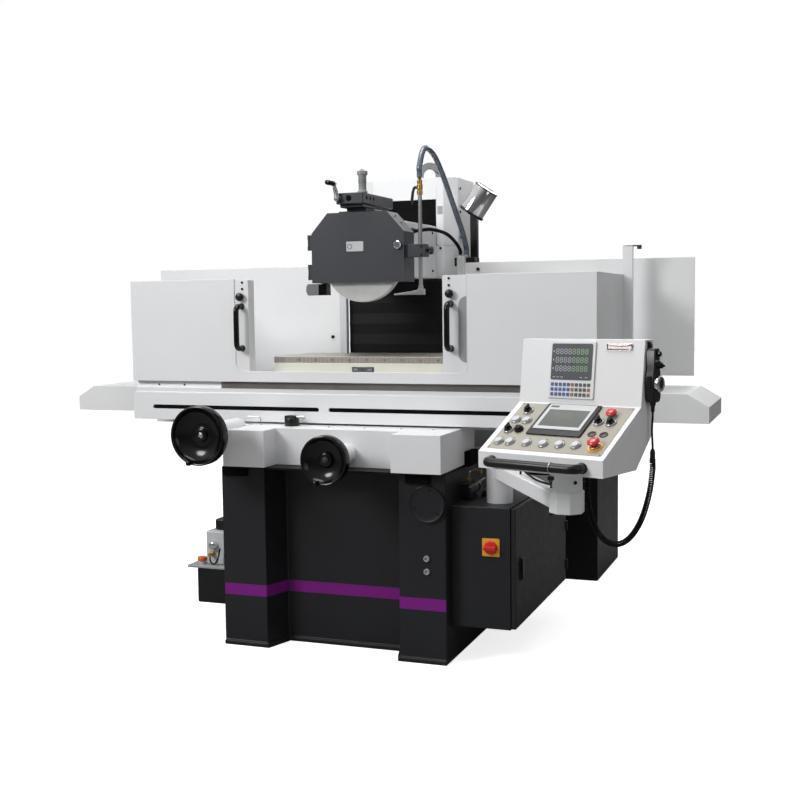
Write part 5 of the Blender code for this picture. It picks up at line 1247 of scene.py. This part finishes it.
def make_controls():
    """Push buttons, selectors, the speed knob, mushroom buttons and marks."""
    row = [(-0.181, 0.056), (-0.138, 0.056), (-0.075, 0.057), (-0.0125, 0.058), (0.046, 0.06),
        (0.104, 0.062), (-0.181, 0.178), (-0.139, 0.178)]
    feed_at, stop_at, collar = (0.154, 0.232), (0.172, 0.064), (0.0148, 0.0178)
    rings = []
    for number, (u, at) in enumerate(row, 1):
        rings.append(ring_on_desk(u, at, *collar, 0.007))
        cap = [(0, 0.0048), (0.0143, 0.0048), (0.0143, 0.0115), (0.0134, 0.013), (0.012, 0.0133),
            (0.011, 0.012), (0, 0.0112)]
        piece(on_desk(spin(cap, (u, at, 0), UP, 40)), f"button_cap_{number}", "button",
            f"push_button_{number}", stands_for=f"push_button_{number}")
    turned = [(-0.179, 0.121), (-0.1625, 0.232), (0.124, 0.191), (0.168, 0.191)]
    for number, (u, at) in enumerate(turned, 1):
        rings.append(ring_on_desk(u, at, *collar, 0.008))
        knob = joined(spin(mm((14.3, 2), (14.3, 10), (12.5, 12)), (u, at, 0), UP, 40),
            push([(u - 0.004, at - 0.0125), (u + 0.004, at - 0.0125), (u + 0.0032, at + 0.0135),
            (u - 0.0032, at + 0.0135)], "Z", 0.011, 0.0255))
        piece(on_desk(knob), f"selector_lever_{number}", "gloss_black", f"selector_{number}", 0.0012, 2,
            stands_for=f"selector_{number}")
    piece(rings, "control_rings", "silver", "console")
    u, at = -0.14, 0.125
    lobes = [(u + (0.015 + 0.0008 * cos(16 * a)) * cos(a), at + (0.015 + 0.0008 * cos(16 * a)) * sin(a))
        for a in [2 * pi * i / 96 for i in range(96)]]
    piece(on_desk(joined(push(lobes, "Z", 0.0018, 0.011), spin(mm((12, 10.5), (10.5, 18), (0, 18.5)),
        (u, at, 0), UP, 40))), "speed_knob_cap", "gloss_black", "speed_knob", stands_for="speed_knob")
    piece(on_desk(flat((u - 0.0008, u + 0.0008), (at + 0.004, at + 0.0105), (0.0178, 0.0188))),
        "speed_knob_pointer", "button", "speed_knob")
    mushroom(*feed_at, 0.0185, 0.0235, "feed_button")
    mushroom(*stop_at, 0.0205, 0.031, "stop_button")
    piece([ring_on_desk(*feed_at, 0.0108, 0.0155, 0.006), ring_on_desk(*stop_at, 0.0128, 0.0175, 0.009)],
        "mushroom_collars", "silver", "console")
    piece(ring_on_desk(*stop_at, 0.013, 0.027, 0.0032), "stop_ring", "yellow", "console")
    plugs = [on_desk(spin(mm((14, 1.5), (14, 3.5), (12, 4.5), (0, 4.8)), (x, 0.128, 0), UP, 32))
        for x in (0.13, 0.172)]
    piece(plugs, "blank_plugs", "black", "console")
    spots = [(x, y + 0.026) for x, y in row[:6]]
    spots += [(x, y + 0.025) for x, y in (turned[2], turned[3], turned[1], turned[0])]
    piece([on_desk(flat((x - 0.006, x + 0.006), (y - 0.0011, y + 0.0011), (0.0014, 0.0019)))
        for x, y in spots], "control_marks", "key_grey", "console")


def mushroom(u, at, radius, height, body):
    """A red mushroom-head button on its stem."""
    r = radius
    neck = 0.0105 if body == "stop_button" else 0.009
    under = height - 0.0125
    profile = [(0, -0.001), (neck, -0.001), (neck, under - 0.001), (r - 0.002, under), (r, under + 0.003),
        (r - 0.001, under + 0.0075), (r - 0.0055, height - 0.001), (r * 0.35, height + 0.0008),
        (0, height + 0.001)]
    piece(on_desk(spin(profile, (u, at, 0), UP, 48)), f"{body}_head", "red", body, stands_for=body)
    if body == "stop_button":
        arrows = []
        for start in (20, 140, 260):
            path = [(u + 0.012 * cos(radians(start + t)), at + 0.012 * sin(radians(start + t)),
                height + 0.0006 - 0.0012) for t in range(0, 75, 12)]
            arrows.append(tube(path, 0.0011, 6))
        piece(on_desk(joined(*arrows)), "stop_button_arrows", "button", body)


def make_clip():
    """The spring clip for papers at the upper panel's right."""
    x, y = (0.092, 0.19), (0.18, 0.205)
    piece(on_panel(flat(x, y, (0.0001, 0.0016), 0.002)), "clip_back", "silver", "console", 0.0005, 2)
    wire = [(x[0] + 0.006, y[0] + 0.004, 0.003), (x[0] + 0.006, y[1] - 0.004, 0.004),
        (x[0] + 0.022, y[1] - 0.007, 0.0065), (x[1] - 0.022, y[1] - 0.007, 0.0065),
        (x[1] - 0.006, y[1] - 0.004, 0.004), (x[1] - 0.006, y[0] + 0.004, 0.003),
        (x[1] - 0.024, y[0] + 0.006, 0.005), (x[0] + 0.024, y[0] + 0.006, 0.005),
        (x[0] + 0.006, y[0] + 0.004, 0.003)]
    piece(on_panel(tube(smooth_path(wire, 5), 0.0016, 10)), "clip_wire", "copper", "console")


def make_pendant():
    """Hand-held jog unit: waisted body, hook, dial with a face and a finger knob, two knobs."""
    low, high = PENDANT_LOW, 1.275
    v = (0.07, 0.124)
    mid = sum(v) / 2
    outline = [(v[0] + 0.01, low), (v[1] - 0.01, low), (v[1] - 0.002, low + 0.014)]
    outline += [(v[1], low + 0.06), (v[1] - 0.003, low + 0.092), (v[1] - 0.008, low + 0.11),
        (v[1] - 0.008, high - 0.01), (v[1] - 0.014, high), (v[0] + 0.014, high), (v[0] + 0.008, high - 0.01),
        (v[0] + 0.008, low + 0.11), (v[0] + 0.003, low + 0.092), (v[0], low + 0.06),
        (v[0] + 0.002, low + 0.014)]
    body = to_console(push(outline, "X", SIDE + 0.0002, SIDE + 0.0335))
    piece(body, "pendant_case", "black", "console", 0.005, 4, stands_for="pendant")
    hook = [(SIDE + 0.01, mid, high - 0.004), (SIDE + 0.01, mid, high + 0.01),
        (SIDE + 0.006, mid, high + 0.016), (SIDE + 0.0005, mid, high + 0.016)]
    piece(to_console(joined(slab((SIDE + 0.0001, SIDE + 0.003), (mid - 0.007, mid + 0.007),
        (high - 0.012, high + 0.022)), tube(hook, 0.0045, 12))), "pendant_hook", "black", "console", 0.0008,
        2)
    dial = joint_at("pendant_dial_turn")
    out = Vector((cos(YAW), sin(YAW), 0))
    piece(spin(mm((26.5, 0), (27, 1), (27, 8.5), (25.5, 9.5), (23.5, 13), (21.5, 13.8), (16, 13.8),
        (15.5, 12.5)), dial, out, 64), "pendant_jog_dial", "chrome", "pendant_dial",
        stands_for="pendant_dial")
    piece(spin(mm((15, 0), (15, 0.6)), dial + out * 0.0125, out, 48), "pendant_dial_face", "black",
        "pendant_dial")
    piece(spin(mm((5.5, 0), (4.8, 8), (0, 9)), dial + out * 0.006 + Vector((0, 0, 0.019)), out, 20),
        "pendant_dial_finger", "black", "pendant_dial")
    knobs = []
    for dv, dz in ((-0.011, 0.128), (0.011, 0.118)):
        spot = on_console(SIDE + 0.0334, mid + dv, low + dz)
        knobs.append(spin(mm((9.5, 0), (8.8, 10), (7, 13)), spot, out, 28))
        knobs.append(spin(mm((2.8, 12), (2.8, 20)), spot, out, 12))
    stop = on_console(SIDE + 0.0334, mid, low + 0.156)
    knobs.append(spin(mm((6, 0), (6, 4), (9, 5), (9, 10), (0, 12)), stop, out, 28))
    piece(knobs, "pendant_knobs", "gloss_black", "console")
    piece(to_console(push(rounded((SIDE + 0.01, SIDE + 0.024), (low + 0.045, low + 0.085), 0.004), "Y",
        v[0] - 0.003, v[0] + 0.003)), "pendant_side_key", "rubber", "console", 0.001, 2)


# ==================================================================== stage
def make_stage():
    """Floor, surroundings and lamps, which are not part of the machine."""
    scene = bpy.context.scene
    in_scene(slab((-30, 30), (-30, 30), (-0.02, 0.0)), "floor", floor_material())
    scene.world = bpy.data.worlds.new("studio")
    scene.world.use_nodes = True
    light_world(scene.world.node_tree)
    lamp("key", (-3.6, -5.4, 4.4), (0.2, 0, 1.0), 2.4, 275)
    lamp("top", (-0.2, -0.6, 5.0), (0, 0, 1.0), 3.0, 140)
    lamp("fill", (5.2, -2.8, 2.6), (0.3, 0, 1.0), 3.0, 26)
    lamp("rim", (1.0, 5.0, 3.6), (0, 0, 1.2), 3.0, 60)
    scene.view_settings.view_transform = "Standard"


def floor_material():
    """A floor that looks white and throws little light back on the machine."""
    made, tree, shader = shader_tree("studio_floor")
    seen = (node(tree, "LightPath", {}), "Is Camera Ray")
    pale, grey = (0.82, 0.82, 0.82, 1), (0.26, 0.26, 0.26, 1)
    tone = node(tree, "Mix", {"A": grey, "B": pale, "Factor": seen}, data_type="RGBA")
    level = node(tree, "Math", {0: seen, 1: 0.78}, operation="MULTIPLY")
    glow = node(tree, "Emission", {"Strength": (level, "Value")})
    feed(tree, shader, {"Base Color": (tone, "Result"), "Roughness": 0.9, "Specular IOR Level": 0.1})
    both = node(tree, "AddShader", {0: (shader, "BSDF"), 1: (glow, "Emission")})
    feed(tree, tree.nodes["Material Output"], {"Surface": (both, "Shader")})
    return made


def light_world(tree):
    """White to the camera, even light for paint and banded light for mirrors."""
    place = node(tree, "TexCoord", {})
    apart = node(tree, "SeparateXYZ", {"Vector": (place, "Generated")})
    height = node(tree, "MapRange", {"From Min": -1, "Value": (apart, "Z")})
    bands = node(tree, "ValToRGB", {"Fac": (height, "Result")})
    stops = [(0.0, 0.75), (0.44, 0.55), (0.52, 0.2), (0.62, 0.35), (0.8, 1.0)]
    marks = bands.color_ramp.elements
    for number, (at, tone) in enumerate(stops):
        mark = marks[number] if number < 2 else marks.new(at)
        mark.position = at
        mark.color = (tone, tone, tone, 1)
    even = tree.nodes["Background"]
    banded = node(tree, "Background", {"Color": (bands, "Color")})
    for background, left, right in ((even, 0.5, 0.2), (banded, 1.0, 0.25)):
        side = node(tree, "MapRange", {"From Min": -1, "To Min": left, "To Max": right,
            "Value": (apart, "X")})
        feed(tree, background, {"Strength": (side, "Result")})
    white = (1.0, 1.0, 1.0, 1)
    feed(tree, even, {"Color": white})
    rays = node(tree, "LightPath", {})
    seen = {0: (rays, "Is Camera Ray"), 1: (rays, "Is Transmission Ray")}
    plain = node(tree, "Math", seen, operation="MAXIMUM")
    blank = node(tree, "Background", {"Color": white, "Strength": 1.0})
    lit = node(tree, "MixShader", {"Fac": (rays, "Is Glossy Ray"), 1: (even, "Background"),
        2: (banded, "Background")})
    mixed = node(tree, "MixShader", {"Fac": (plain, "Value"), 1: (lit, "Shader"), 2: (blank, "Background")})
    feed(tree, tree.nodes["World Output"], {"Surface": (mixed, "Shader")})


def lamp(name, at, target, size, power):
    data = bpy.data.lights.new(name, "AREA")
    data.shape = "DISK"
    data.size = size
    data.energy = power
    thing = bpy.data.objects.new(name, data)
    thing.location = at
    thing.rotation_euler = (Vector(target) - Vector(at)).to_track_quat("-Z", "Y").to_euler()
    bpy.context.scene.collection.objects.link(thing)


EYE = Vector((1.914, -4.761, 1.42))
EYE_TURN, EYE_DOWN, EYE_ROLL = radians(20.56), radians(4.62), radians(0.715)
LENS = 52.48                  # on a 36 mm sensor


def make_camera():
    """The camera that the picture was taken with, as far as it could be solved."""
    ahead = Vector((-sin(EYE_TURN) * cos(EYE_DOWN), cos(EYE_TURN) * cos(EYE_DOWN), -sin(EYE_DOWN)))
    right = Vector((cos(EYE_TURN), sin(EYE_TURN), 0))
    down = ahead.cross(right)
    across = cos(EYE_ROLL) * right + sin(EYE_ROLL) * down
    below = -sin(EYE_ROLL) * right + cos(EYE_ROLL) * down
    data = bpy.data.cameras.new("camera")
    data.lens = LENS
    data.sensor_width = 36
    data.clip_end = 60
    camera = bpy.data.objects.new("camera", data)
    turn = Matrix((across, -below, -ahead)).transposed().to_4x4()
    camera.matrix_world = Matrix.Translation(EYE) @ turn
    bpy.context.scene.collection.objects.link(camera)
    bpy.context.scene.camera = camera


# ===================================================================== make
for stray in [o for o in bpy.data.objects if o.name in ("Cube", "Light", "Camera")]:
    bpy.data.objects.remove(stray)
make_camera()
make_pendant_cord()
make_head_lines()
make_base()
make_lubrication_unit()
make_oil_fittings()
make_column()
make_lamp()
make_cabinet()
make_tank()
make_saddle()
make_handwheels()
make_table()
make_splash_guard()
make_head()
make_arm()
make_console()
make_stage()
